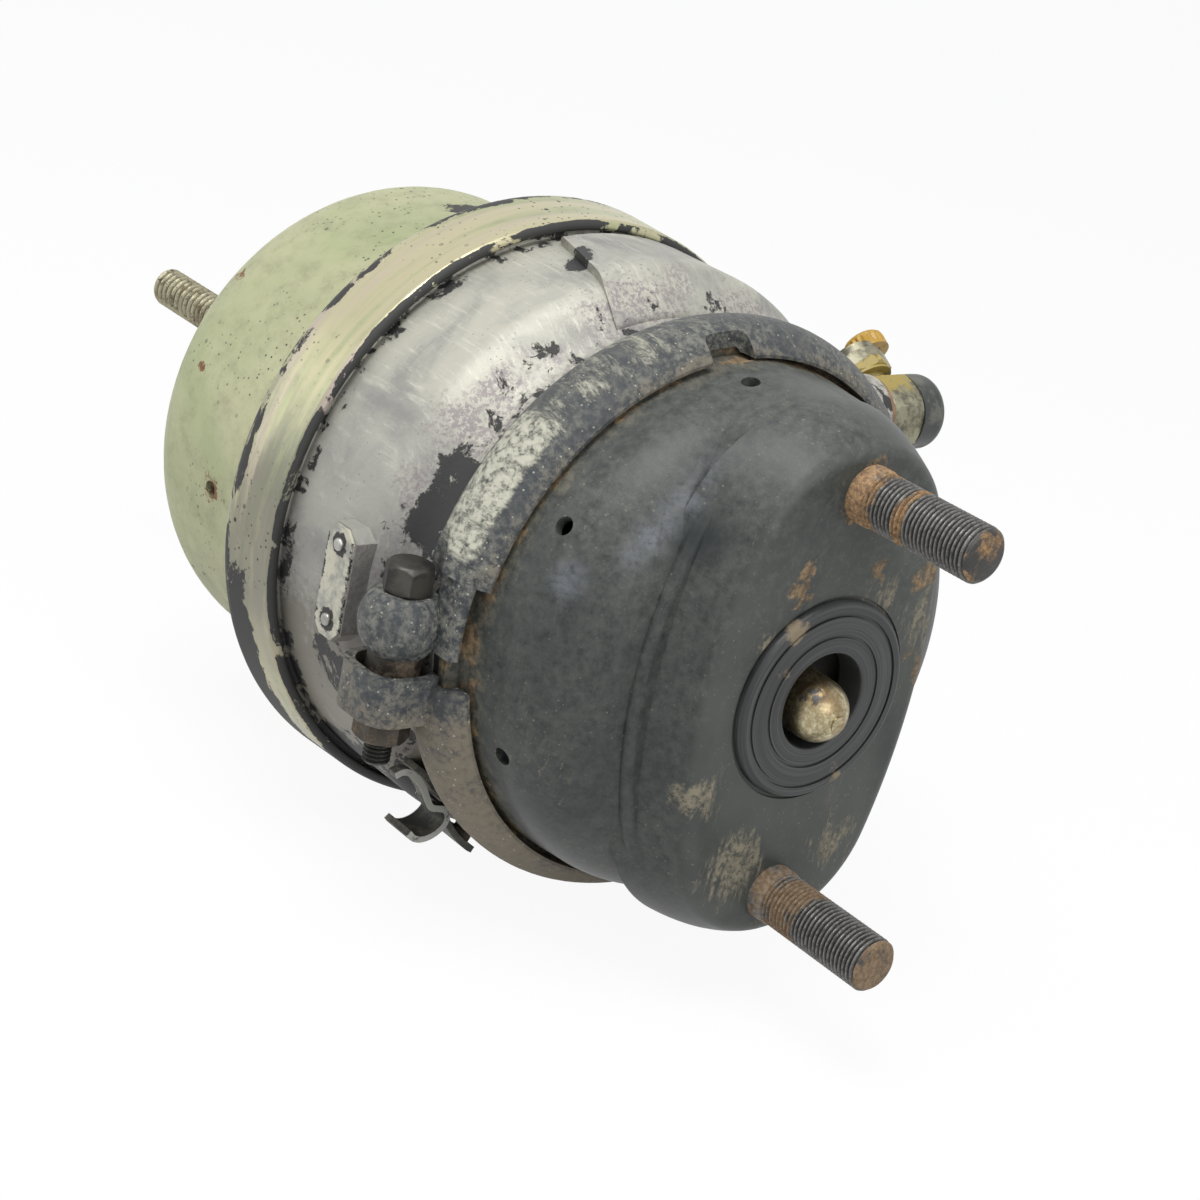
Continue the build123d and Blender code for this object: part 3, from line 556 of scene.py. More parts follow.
    def dust_mask(self, graph: Graph, ragged: Socket, cloud: Socket) -> Value:
        """Gives smears on the land, scratches by the lower stud, specks and a dusty clamp edge.

        Args:
            graph: Node tree to add to.
            ragged: Noise that breaks the edges.
            cloud: Broad noise that groups the smallest specks.

        Returns:
            The mask.
        """
        spots = [
            (clock_point(-0.0088, 0.078, 187.9), 0.013, 1.0),
            ((0.0, -0.025, 0.019), 0.009, 0.8),
            ((0.0, -0.036, -0.027), 0.018, 0.85),
            ((0.0, -0.017, -0.050), 0.024, 0.95),
            ((-0.002, 0.020, -0.047), 0.022, 0.8),
            ((-0.003, 0.036, 0.020), 0.026, 0.8),
            ((0.0, 0.015, 0.030), 0.018, 0.7),
            (clock_point(-0.020, 0.080, 205.0), 0.030, 0.55),
        ]
        streaky = graph.noise(90.0, 8.0, 0.7, at=graph.stretched((1.0, 3.6, 0.8), (28.0, 0.0, 0.0)))
        smears = graph.worn(graph.patches(spots), streaky, 0.70, 0.14)
        group = graph.step(graph.noise(30.0, 4.0, 0.7), 0.42, 0.62)
        specks = graph.both(graph.step(graph.grains(330.0), 0.17, 0.06), group, 0.75)
        flow = graph.noise(80.0, 8.0, 0.75, at=graph.stretched((2.2, 2.6, 0.45), (0.0, 0.0, 12.0)))
        streaks = graph.both(graph.step(flow, 0.56, 0.70), group, 0.30)
        edge = graph.worn(graph.step(graph.x, CLAMP_PLANE + 0.019, CLAMP_PLANE + 0.008), ragged, 0.66, 0.16)
        tiny = graph.both(graph.step(graph.grains(560.0), 0.17, 0.07), graph.step(cloud, 0.30, 0.62), 0.75)
        return graph.either(smears, specks, tiny, streaks, graph.both(edge, 0.35))

    def rust_mask(self, graph: Graph, ragged: Socket) -> Value:
        """Gives rust round the upper stud, below it, at the land's right edge and by the clamp.

        Args:
            graph: Node tree to add to.
            ragged: Noise that breaks the edges.

        Returns:
            The mask.
        """
        spots = [
            ((-0.009, -0.011, 0.0435), 0.010, 0.85),
            ((-0.003, -0.016, 0.0395), 0.010, 0.90),
            ((0.0, -0.016, 0.032), 0.009, 0.80),
            ((0.0, 0.011, 0.037), 0.010, 0.65),
            ((-0.001, 0.031, 0.034), 0.014, 0.80),
            ((-0.004, 0.038, 0.004), 0.018, 0.7),
            ((0.0, 0.0, STUD_HEIGHT), 0.018, 1.0),
            ((0.0, 0.0, -STUD_HEIGHT), 0.017, 0.7),
        ]
        clamp = graph.both(graph.step(graph.x, CLAMP_PLANE + 0.0135, CLAMP_PLANE + 0.009), 0.62)
        return graph.worn(graph.either(graph.patches(spots), clamp), ragged, 0.70, 0.10)


@dataclass(frozen=True)
class ClampPaint:
    """Blue-grey paint with grit, brown dirt and a pale scuff along the crown of the upper half."""

    name: str = "clamp_paint"
    paint: Colour = (0.032, 0.037, 0.041)
    grit: Colour = (0.250, 0.245, 0.210)
    scuff: Colour = (0.55, 0.54, 0.44)
    dirt: Colour = (0.185, 0.158, 0.115)
    gloss: float = 0.44
    crown_radius: float = 0.0872

    def build(self) -> bpy.types.Material:
        """Makes the material.

        Returns:
            The material.
        """
        graph = Graph(self.name)
        cloud = graph.noise(36.0, 8.0, 0.65, twist=0.3)
        fine = graph.noise(420.0, 7.0, 0.74)
        grit = graph.both(graph.step(cloud, 0.24, 0.60), graph.step(fine, 0.40, 0.64))
        colour = graph.mix(graph.both(grit, 0.75), self.paint, self.grit)
        dirt = self.dirt_mask(graph, cloud, fine)
        colour = graph.mix(graph.both(dirt, 0.85), colour, self.dirt)
        scuff = self.scuff_mask(graph, fine)
        colour = graph.mix(graph.both(scuff, 0.85), colour, self.scuff)
        colour = graph.mix(graph.both(graph.step(graph.grains(420.0), 0.16, 0.06), 0.6), colour, self.scuff)
        graph.surface(colour, graph.blend(graph.either(grit, dirt, scuff), self.gloss, 0.80))
        graph.shader.inputs["Specular IOR Level"].default_value = 0.4
        pits = graph.noise(170.0, 7.0, 0.72)
        graph.bump(graph.plus(pits, graph.both(fine, 0.45), graph.both(scuff, 0.30)), 0.0009, 0.9)
        return graph.material

    def scuff_mask(self, graph: Graph, fine: Socket) -> Value:
        """Gives streaks that are thick low on the left and thin out towards the top.

        Args:
            graph: Node tree to add to.
            fine: Noise that breaks the streaks up.

        Returns:
            The mask.
        """
        crown = graph.step(graph.radius(), self.crown_radius - 0.0027, self.crown_radius)
        streak = graph.noise(120.0, 9.0, 0.76, at=graph.wrapped(0.55, 1.7), twist=0.5)
        thick = graph.sector(44.0, 77.0, 0.16)
        thin = graph.sector(14.0, 46.0, 0.16)
        base = graph.either(thick, graph.both(thin, 0.62))
        raw = graph.worn(graph.both(base, crown), streak, 0.70, 0.16)
        return graph.both(raw, graph.step(fine, 0.30, 0.54), graph.step(graph.z, 0.006, 0.016))

    def dirt_mask(self, graph: Graph, cloud: Socket, fine: Socket) -> Value:
        """Gives brown dirt along the front edge and over the lower half.

        Args:
            graph: Node tree to add to.
            cloud: Broad noise.
            fine: Fine noise.

        Returns:
            The mask.
        """
        edge = graph.both(graph.step(graph.x, CLAMP_FRONT - 0.0050, CLAMP_FRONT - 0.0005), 0.55)
        low = graph.both(graph.step(graph.z, 0.012, -0.035), 0.8)
        rough = graph.plus(graph.both(cloud, 0.5), graph.both(fine, 0.5))
        return graph.worn(graph.either(edge, low), rough, 0.66, 0.18)


@dataclass(frozen=True)
class ClipPaint:
    """Dark paint of the hose clip, dusty on its faces and bare along the cut edges."""

    name: str = "clip_paint"
    paint: Colour = (0.022, 0.024, 0.022)
    dust: Colour = (0.125, 0.115, 0.085)
    bare: Colour = (0.34, 0.34, 0.31)
    front: float = -0.0780
    rear: float = -0.0900

    def build(self) -> bpy.types.Material:
        """Makes the material.

        Returns:
            The material.
        """
        graph = Graph(self.name)
        cloud = graph.noise(110.0, 8.0, 0.72)
        colour = graph.mix(graph.step(cloud, 0.44, 0.66), self.paint, self.dust)
        edge = graph.either(graph.step(graph.x, self.front - 0.0005, self.front - 0.0001),
                            graph.step(graph.x, self.rear + 0.0005, self.rear + 0.0001))
        edge = graph.worn(edge, graph.noise(240.0, 7.0, 0.7), 0.72, 0.10)
        graph.surface(graph.mix(edge, colour, self.bare), graph.blend(edge, 0.58, 0.42))
        graph.bump(cloud, 0.0003, 0.6)
        return graph.material


@dataclass(frozen=True)
class CupChromate:
    """Yellow chromate on drawn steel, with an iridescent rim, painted highlight and shade, and what is left
    of black paint.
    """

    name: str = "cup_chromate"
    pale: Colour = (0.45, 0.45, 0.28)
    green: Colour = (0.33, 0.37, 0.20)
    gold: Colour = (0.50, 0.46, 0.30)
    pink: Colour = (0.50, 0.40, 0.38)
    grey: Colour = (0.170, 0.165, 0.140)
    brown: Colour = (0.17, 0.13, 0.085)
    black: Colour = (0.020, 0.020, 0.019)
    rust: Colour = (0.15, 0.060, 0.024)
    soil: Colour = (0.20, 0.20, 0.12)

    def build(self) -> bpy.types.Material:
        """Makes the material.

        Returns:
            The material.
        """
        graph = Graph(self.name)
        cloud = graph.noise(15.0, 5.0, 0.5, twist=1.0)
        colour = graph.mix(graph.step(cloud, 0.34, 0.68), self.pale, self.green)
        soil = graph.both(graph.step(graph.noise(130.0, 8.0, 0.75), 0.42, 0.72), 0.45)
        colour = graph.mix(soil, colour, self.soil)
        rim = graph.step(graph.x, RIM_FRONT - 0.031, RIM_FRONT - 0.025)
        bands = graph.noise(70.0, 4.0, 0.55, at=graph.wrapped(2.4, 0.16), twist=0.4)
        colour = graph.mix(graph.both(rim, graph.step(bands, 0.38, 0.62)), colour, self.gold)
        # iridescent pink tint on the rim, faint all round; from 48° to 84° it is strengthened into a painted
        # pink-white highlight
        pink = graph.step(graph.noise(42.0, 4.0, 0.55, at=graph.wrapped(2.8, 0.22)), 0.50, 0.66)
        flank = graph.blend(graph.sector(48.0, 84.0, 0.20), 0.30, 0.90)
        colour = graph.mix(graph.both(rim, pink, flank), colour, self.pink)
        grime = graph.step(graph.noise(60.0, 7.0, 0.7), 0.30, 0.62)
        colour = graph.mix(graph.both(graph.step(graph.z, 0.01, -0.085), grime, 0.5), colour, self.brown)
        # the rim's left side, from 66° to 112° round from the top, turns grey in streaks
        left = graph.both(rim, graph.sector(66.0, 112.0, 0.20))
        streaked = graph.noise(50.0, 7.0, 0.7, at=graph.wrapped(2.0, 0.3))
        colour = graph.mix(graph.both(left, graph.step(streaked, 0.34, 0.58), 0.75), colour, self.grey)
        chips, specks, rust = self.paint_mask(graph), self.speck_mask(graph), self.rust_mask(graph)
        colour = graph.mix(graph.either(chips, specks), colour, self.black)
        colour = graph.mix(rust, colour, self.rust)
        covered = graph.either(chips, specks, rust)
        drawn = graph.noise(24.0, 6.0, 0.7, at=graph.wrapped(1.0, 6.0))
        rough = graph.blend(covered, graph.blend(rim, graph.blend(drawn, 0.46, 0.60), 0.34), 0.62)
        graph.surface(colour, rough, graph.blend(covered, graph.blend(rim, 0.35, 0.62), 0.0))
        dents = graph.both(graph.noise(11.0, 2.0), 2.0)
        relief = graph.plus(graph.both(drawn, 0.25), graph.both(chips, 0.9), dents)
        graph.bump(relief, 0.00018, 0.7)
        return graph.material

    def paint_mask(self, graph: Graph) -> Value:
        """Gives ragged black paint on the rim's rear edge and low on its left, and painted gap shadow along
        the lip.

        Args:
            graph: Node tree to add to.

        Returns:
            The mask.
        """
        ragged = graph.noise(75.0, 10.0, 0.70, at=graph.wrapped(1.0, 0.62), twist=0.35)
        rear_edge = graph.slab(graph.x, RIM_FRONT - 0.0300, RIM_FRONT - 0.0190, 0.0030)
        crown = graph.both(graph.slab(graph.x, RIM_FRONT - 0.0205, RIM_FRONT - 0.0075, 0.004), 0.22)
        # painted shadow: a nearly unbroken black line along the lip, where the rolled lip meets the casting
        lip = graph.both(graph.step(graph.x, RIM_FRONT - 0.0022, RIM_FRONT - 0.0006), 0.86)
        beside = graph.slab(graph.x, RIM_FRONT - 0.041, RIM_FRONT - 0.009, 0.006)
        left_low = graph.both(beside, graph.step(graph.z, 0.010, -0.032))
        rear = graph.step(graph.x, RIM_FRONT - 0.041, RIM_FRONT - 0.019)
        under = graph.both(rear, graph.step(graph.z, -0.050, -0.080))
        top = graph.both(graph.near(clock_point(-0.190, CUP_RADIUS, 90.0), 0.026), 0.75)
        base = graph.either(graph.both(rear_edge, 0.80), crown, lip, left_low, under, top)
        return graph.worn(base, ragged, 0.775, 0.035)

    def speck_mask(self, graph: Graph) -> Value:
        """Gives small dark specks in loose groups.

        Args:
            graph: Node tree to add to.

        Returns:
            The mask.
        """
        group = graph.step(graph.noise(26.0, 3.0), 0.42, 0.60)
        large = graph.step(graph.grains(140.0), 0.13, 0.08)
        small = graph.step(graph.grains(420.0), 0.22, 0.10)
        return graph.both(graph.either(large, small), group)

    def rust_mask(self, graph: Graph) -> Value:
        """Gives rust at the vent and a line of it on the upper left.

        Args:
            graph: Node tree to add to.

        Returns:
            The mask.
        """
        spots = [
            (clock_point(-0.190, CUP_RADIUS, 186.0), 0.009, 0.9),
            (clock_point(-0.220, CUP_RADIUS, 141.0), 0.006, 0.8),
            (clock_point(-0.210, CUP_RADIUS, 163.0), 0.005, 0.6),
        ]
        return graph.worn(graph.patches(spots), graph.noise(330.0, 6.0, 0.7), 0.68, 0.08)


@dataclass(frozen=True)
class CastAluminium:
    """Weathered casting with fine scratches, tinted patches, grit, what is left of black paint and painted
    shade on one flank.
    """

    name: str = "cast_aluminium"
    metal: Colour = (0.44, 0.43, 0.365)
    bright: Colour = (0.62, 0.605, 0.525)
    shade: Colour = (0.23, 0.228, 0.215)
    pink: Colour = (0.215, 0.185, 0.195)
    brown: Colour = (0.115, 0.098, 0.075)
    black: Colour = (0.020, 0.020, 0.020)
    neck_rear: float = -0.101
    neck_front: float = -0.086

    def build(self) -> bpy.types.Material:
        """Makes the material.

        Returns:
            The material.
        """
        graph = Graph(self.name)
        cloud = graph.noise(30.0, 7.0, 0.62, twist=0.6)
        grit = graph.noise(700.0, 5.0, 0.75)
        scratches = graph.noise(60.0, 7.0, 0.75, at=graph.stretched((1.2, 12.0, 3.0), (22.0, 18.0, 30.0)))
        colour = graph.mix(graph.step(cloud, 0.36, 0.72), self.metal, self.shade)
        colour = graph.mix(graph.both(graph.step(scratches, 0.50, 0.72), 0.65), colour, self.bright)
        # painted shade: the flank from 62° to 125° round from the top is darkened halfway to the shade colour
        flank = graph.both(graph.sector(62.0, 125.0, 0.25), 0.5)
        colour = graph.mix(flank, colour, self.shade)
        belt = graph.both(graph.step(graph.x, -0.104, -0.090), 0.6)
        stain = graph.both(graph.worn(belt, graph.noise(26.0, 4.0), 0.60, 0.14), graph.step(grit, 0.46, 0.58))
        spots = [
            (clock_point(-0.0892, 0.0843, 134.0), 0.013, 0.9),
            (clock_point(-0.0888, 0.0840, 143.0), 0.012, 0.9),
            (clock_point(-0.0860, 0.0850, 124.0), 0.013, 0.7),
        ]
        speckle = graph.both(graph.worn(graph.patches(spots), graph.noise(120.0, 9.0, 0.75), 0.66, 0.12),
                             graph.step(grit, 0.40, 0.54))
        colour = graph.mix(graph.both(graph.either(stain, speckle), 0.80), colour, self.pink)
        pitted = graph.step(graph.noise(44.0), 0.42, 0.60)
        pits = graph.both(graph.step(graph.grains(520.0), 0.20, 0.08), pitted, 0.7)
        colour = graph.mix(pits, colour, self.brown)
        low = graph.worn(graph.step(graph.z, 0.018, -0.040), graph.noise(90.0, 8.0, 0.72), 0.60, 0.22)
        colour = graph.mix(graph.both(low, 0.7), colour, self.brown)
        paint = self.paint_mask(graph)
        colour = graph.mix(paint, colour, self.black)
        metal = graph.blend(graph.either(paint, graph.both(low, 0.8)), 0.30, 0.0)
        graph.surface(colour, graph.blend(paint, graph.blend(cloud, 0.44, 0.60), 0.60), metal)
        relief = graph.plus(graph.both(grit, 0.5), graph.both(scratches, 0.35), graph.both(paint, 0.8))
        graph.bump(relief, 0.00038, 0.85)
        return graph.material

    def paint_mask(self, graph: Graph) -> Value:
        """Gives black paint in the neck, round the plate, by the field's step and low on the barrel.

        Args:
            graph: Node tree to add to.

        Returns:
            The mask.
        """
        ragged = graph.noise(110.0, 11.0, 0.72, at=graph.wrapped(0.8, 0.8), twist=0.35)
        neck = graph.step(graph.x, self.neck_rear, self.neck_front)
        side = graph.sector(58.0, 82.0, 0.10)
        left = graph.step(graph.x, -0.0935, -0.0865)
        border = graph.step(graph.x, RIM_FRONT + 0.0055, RIM_FRONT + 0.0020)
        spots = [
            (clock_point(-0.0845, 0.0825, 158.0), 0.009, 1.0),
            (clock_point(-0.113, 0.091, 102.0), 0.013, 0.95),
            (clock_point(-0.098, 0.091, 112.0), 0.013, 0.6),
            (clock_point(-0.080, 0.084, 106.0), 0.016, 0.9),
            (clock_point(-0.106, 0.092, 199.0), 0.026, 0.9),
            (clock_point(-0.128, 0.091, 230.0), 0.030, 1.0),
        ]
        under = graph.both(graph.step(graph.z, -0.030, -0.075), 0.85)
        plate = graph.both(graph.slab(graph.x, PLATE_LOW.x - 0.0012, PLATE_HIGH.x + 0.0012, 0.0004),
                           graph.slab(graph.z, PLATE_LOW.z - 0.0010, PLATE_HIGH.z + 0.0010, 0.0004),
                           graph.step(graph.y, -0.084, -0.086))
        base = graph.either(graph.both(neck, 0.50), graph.both(left, side, 0.95), graph.both(border, 0.58),
                            graph.patches(spots), under)
        base = graph.both(base, graph.inverse(plate))
        return graph.worn(base, ragged, 0.745, 0.035)


@dataclass(frozen=True)
class Steel:
    """Plain or plated steel with a stain, and rust in the share asked for."""

    name: str
    metal: Colour
    stain: Colour
    wear: Wear = Wear.AGED
    gloss: float = 0.38
    rust_dark: Colour = (0.085, 0.040, 0.019)
    rust_light: Colour = (0.24, 0.125, 0.055)

    def build(self) -> bpy.types.Material:
        """Makes the material.

        Returns:
            The material.
        """
        graph = Graph(self.name)
        cloud = graph.noise(120.0, 7.0, 0.65)
        fine = graph.noise(700.0, 4.0, 0.7)
        colour = graph.mix(graph.step(cloud, 0.38, 0.65), self.metal, self.stain)
        level = 0.78 - 0.42 * self.wear.value
        rust = graph.step(graph.noise(85.0, 9.0, 0.70), level, level + 0.08)
        tint = graph.mix(graph.step(fine, 0.35, 0.65), self.rust_dark, self.rust_light)
        colour = graph.mix(graph.both(rust, 0.9), colour, tint)
        graph.surface(colour, graph.blend(rust, self.gloss, 0.80), graph.blend(rust, 0.85, 0.05))
        graph.bump(graph.plus(graph.both(fine, 0.4), rust), 0.0002, 0.5)
        return graph.material


@dataclass(frozen=True)
class StudSteel:
    """Dark threads of the mounting studs, with rust at the collar, in bands and on the ends."""

    name: str = "stud_steel"
    dark: Colour = (0.050, 0.050, 0.048)
    crest: Colour = (0.190, 0.185, 0.175)
    rust: Colour = (0.140, 0.080, 0.038)
    orange: Colour = (0.40, 0.240, 0.105)
    sand: Colour = (0.24, 0.175, 0.105)
    crest_radius: float = 0.0080

    def build(self) -> bpy.types.Material:
        """Makes the material.

        Returns:
            The material.
        """
        graph = Graph(self.name)
        cloud = graph.noise(110.0, 8.0, 0.70, twist=0.4)
        fine = graph.noise(800.0, 5.0, 0.72)
        top = graph.step(graph.stud_gap(), self.crest_radius - 0.0008, self.crest_radius)
        colour = graph.mix(graph.both(top, graph.step(fine, 0.3, 0.6)), self.dark, self.crest)
        upper = graph.step(graph.z, -0.01, 0.01)
        collar = graph.both(graph.step(graph.x, 0.013, 0.006), graph.blend(upper, 0.75, 1.0))
        band = graph.both(graph.slab(graph.x, 0.0165, 0.0205, 0.0015), upper)
        root_band = graph.both(graph.slab(graph.x, 0.006, 0.020, 0.004), graph.blend(upper, 0.85, 0.10))
        tip = graph.step(graph.x, STUD_END - 0.0020, STUD_END - 0.0008)
        end = graph.both(tip, graph.blend(upper, 0.85, 0.60))
        rust = graph.worn(graph.either(collar, band, root_band, end), cloud, 0.70, 0.14)
        tint = graph.mix(graph.step(fine, 0.36, 0.66), self.rust, graph.mix(upper, self.sand, self.orange))
        colour = graph.mix(graph.both(rust, 0.88), colour, tint)
        graph.surface(colour, graph.blend(rust, 0.44, 0.82), graph.blend(rust, 0.6, 0.0))
        graph.bump(graph.plus(graph.both(fine, 0.5), graph.both(rust, cloud)), 0.00022, 0.6)
        return graph.material


@dataclass(frozen=True)
class ScrewSteel:
    """Olive plating of a long screw, dark in the grooves and bright on the crests."""

    name: str = "screw_steel"
    groove: Colour = (0.035, 0.032, 0.020)
    crest: Colour = (0.38, 0.35, 0.24)
    stain: Colour = (0.11, 0.075, 0.04)
    crest_radius: float = 0.0067

    def build(self) -> bpy.types.Material:
        """Makes the material.

        Returns:
            The material.
        """
        graph = Graph(self.name)
        fine = graph.noise(500.0, 6.0, 0.7)
        top = graph.step(graph.radius(), self.crest_radius - 0.0012, self.crest_radius)
        colour = graph.mix(graph.both(top, graph.step(fine, 0.28, 0.55)), self.groove, self.crest)
        colour = graph.mix(graph.both(graph.step(graph.noise(120.0), 0.52, 0.66), 0.6), colour, self.stain)
        graph.surface(colour, graph.blend(fine, 0.32, 0.55), graph.blend(top, 0.3, 0.8))
        graph.bump(fine, 0.00012, 0.5)
        return graph.material


@dataclass(frozen=True)
class RodSteel:
    """Olive brass coloured plating of the pushrod, worn and stained brown and black."""

    name: str = "rod_steel"
    plate: Colour = (0.36, 0.31, 0.175)
    bright: Colour = (0.58, 0.53, 0.37)
    brown: Colour = (0.19, 0.120, 0.055)
    black: Colour = (0.025, 0.024, 0.022)

    def build(self) -> bpy.types.Material:
        """Makes the material.

        Returns:
            The material.
        """
        graph = Graph(self.name)
        cloud = graph.noise(180.0, 7.0, 0.66, twist=0.6)
        fine = graph.noise(900.0, 4.0, 0.7)
        colour = graph.mix(graph.step(fine, 0.40, 0.62), self.plate, self.bright)
        side = graph.near((0.001, -0.006, 0.005), 0.016)
        colour = graph.mix(graph.both(graph.step(cloud, 0.46, 0.58), 0.55), colour, self.brown)
        colour = graph.mix(graph.both(side, graph.step(cloud, 0.34, 0.50), 0.85), colour, self.brown)
        sooty = graph.step(graph.noise(120.0, 6.0, 0.7), 0.53, 0.59)
        stain = graph.both(sooty, graph.step(graph.x, 0.0070, 0.0045))
        colour = graph.mix(stain, colour, self.black)
        graph.surface(colour, graph.blend(cloud, 0.22, 0.46), graph.blend(stain, 0.92, 0.0))
        graph.bump(graph.plus(fine, cloud), 0.00018, 0.6)
        return graph.material


@dataclass(frozen=True)
class Moulded:
    """Rubber or plastic with a grain and dust."""

    name: str
    body: Colour
    dust: Colour = (0.20, 0.18, 0.145)
    gloss: float = 0.55
    dust_share: float = 0.35
    grain: float = 1100.0

    def build(self) -> bpy.types.Material:
        """Makes the material.

        Returns:
            The material.
        """
        graph = Graph(self.name)
        cloud = graph.noise(90.0, 8.0, 0.65)
        level = 0.76 - 0.4 * self.dust_share
        dust = graph.step(cloud, level, level + 0.16)
        colour = graph.mix(graph.both(dust, 0.55), self.body, self.dust)
        graph.surface(colour, graph.blend(dust, self.gloss, 0.85))
        graph.bump(graph.noise(self.grain, 3.0, 0.6), 0.00012, 0.4)
        return graph.material


@dataclass(frozen=True)
class SealRubber:
    """Dark rubber of the face seal, with a sandy smear on its upper left."""

    name: str = "seal_rubber"
    rubber: Colour = (0.016, 0.017, 0.018)
    film: Colour = (0.065, 0.067, 0.064)
    smear: Colour = (0.25, 0.20, 0.13)

    def build(self) -> bpy.types.Material:
        """Makes the material.

        Returns:
            The material.
        """
        graph = Graph(self.name)
        fine = graph.noise(500.0, 6.0, 0.7)
        turned = graph.noise(40.0, 5.0, 0.6, at=graph.ringed())
        colour = graph.mix(graph.both(graph.step(turned, 0.4, 0.7), 0.7), self.rubber, self.film)
        spots = [
            ((0.002, -0.016, 0.023), 0.009, 0.9),
            ((0.002, -0.018, 0.010), 0.006, 0.5),
            ((0.002, 0.012, -0.024), 0.010, 0.5),
        ]
        smear = graph.worn(graph.patches(spots), graph.noise(150.0, 8.0, 0.7), 0.70, 0.14)
        colour = graph.mix(graph.both(smear, 0.8), colour, self.smear)
        graph.surface(colour, graph.blend(smear, 0.44, 0.85))
        graph.bump(graph.plus(graph.both(turned, 0.6), graph.both(fine, 0.2)), 0.00020, 0.5)
        return graph.material


@dataclass(frozen=True)
class FittingPlate:
    """Pale plating of the service fitting, with yellow paint on its upper flats."""

    name: str = "fitting_plate"
    plate: Colour = (0.30, 0.285, 0.20)
    dark: Colour = (0.11, 0.10, 0.07)
    yellow: Colour = (0.31, 0.235, 0.060)

    def build(self) -> bpy.types.Material:
        """Makes the material.

        Returns:
            The material.
        """
        graph = Graph(self.name)
        cloud = graph.noise(150.0, 7.0, 0.66)
        fine = graph.noise(700.0, 5.0, 0.7)
        colour = graph.mix(graph.step(cloud, 0.42, 0.62), self.plate, self.dark)
        upper = graph.both(graph.step(graph.z, 0.0520, 0.0590), graph.step(graph.x, -0.1020, -0.0970), 0.9)
        yellow = graph.worn(upper, graph.noise(260.0, 8.0, 0.75), 0.72, 0.08)
        colour = graph.mix(yellow, colour, self.yellow)
        graph.surface(colour, graph.blend(fine, 0.40, 0.62), graph.blend(yellow, 0.6, 0.0))
        graph.bump(graph.plus(fine, yellow), 0.00018, 0.5)
        return graph.material


@dataclass(frozen=True)
class PlateLacquer:
    """Cream lacquer of the blank plate, speckled with black and bare metal."""

    name: str = "plate_lacquer"
    cream: Colour = (0.50, 0.48, 0.38)
    grey: Colour = (0.27, 0.265, 0.24)
    black: Colour = (0.022, 0.021, 0.020)
    rivet_height: float = 0.0113

    def build(self) -> bpy.types.Material:
        """Makes the material.

        Returns:
            The material.
        """
        graph = Graph(self.name)
        cloud = graph.noise(170.0, 8.0, 0.7)
        fleck = graph.noise(620.0, 6.0, 0.75)
        colour = graph.mix(graph.step(cloud, 0.42, 0.62), self.cream, self.grey)
        across = graph.math("SUBTRACT", graph.x, (PLATE_LOW.x + PLATE_HIGH.x) / 2)
        rise = graph.math("SUBTRACT", graph.math("ABSOLUTE", graph.z), self.rivet_height)
        surround = graph.both(graph.step(graph.length(across, rise), 0.0046, 0.0026), 0.8)
        edge = graph.both(graph.step(graph.math("ABSOLUTE", across), 0.0042, 0.0058), 0.45)
        black = graph.worn(graph.either(surround, edge), fleck, 0.66, 0.05)
        colour = graph.mix(black, colour, self.black)
        graph.surface(colour, graph.blend(fleck, 0.42, 0.7))
        graph.bump(graph.plus(fleck, black), 0.00014, 0.5)
        return graph.material


@dataclass(frozen=True)
class Thread:
    """Right-hand screw thread on a stretch of a bar.

    The root and the crest are as wide as their shares of the pitch, and the flanks fill the rest.
    """

    start: float
    end: float
    pitch: float
    depth: float
    crest: float
    root_share: float = 0.14
    crest_share: float = 0.16

    def limit(self, along: float, around: float) -> float:
        """Gives the radius of the thread at a place.

        Args:
            along: Distance from the bar's start.
            around: Angle round the bar in radians.

        Returns:
            The radius.
        """
        phase = (along / self.pitch - around / math.tau) % 1.0
        flank = 1.0 - self.root_share - self.crest_share
        ridge = min(max((1.0 - self.root_share - abs(2.0 * phase - 1.0)) / flank, 0.0), 1.0)
        runout = min(1.0, max(0.0, along - self.start) / self.pitch)
        return self.crest - self.depth * (1.0 - ridge) * runout


@dataclass(frozen=True)
class Flats:
    """Flats on a stretch of a bar: two, or the six of a hexagon."""

    start: float
    end: float
    across: float
    count: int = 6

    def limit(self, around: float) -> float:
        """Gives the distance from the bar's axis to the nearest flat.

        Args:
            around: Angle round the bar in radians.

        Returns:
            The distance.
        """
        step = math.tau / self.count
        off = (around + step / 2) % step - step / 2
        return self.across / 2 / max(math.cos(off), SKIN)


@dataclass(frozen=True)
class Ribs:
    """Grip ribs round a stretch of a bar, which fade out at both ends."""

    start: float
    end: float
    count: int
    depth: float
    floor: float
    fade: float = 0.0006
    margin: float = 0.001  # how far the fine rows run past the ribs

    def limit(self, along: float, around: float, radius: float) -> float:
        """Gives the radius with the ribs cut in.

        Args:
            along: Distance from the bar's start.
            around: Angle round the bar in radians.
            radius: Radius without ribs.

        Returns:
            The radius.
        """
        if radius < self.floor:
            return radius
        share = min(1.0, max(0.0, along - self.start) / self.fade, max(0.0, self.end - along) / self.fade)
        return radius - self.depth * share * (0.5 - 0.5 * math.cos(self.count * around))


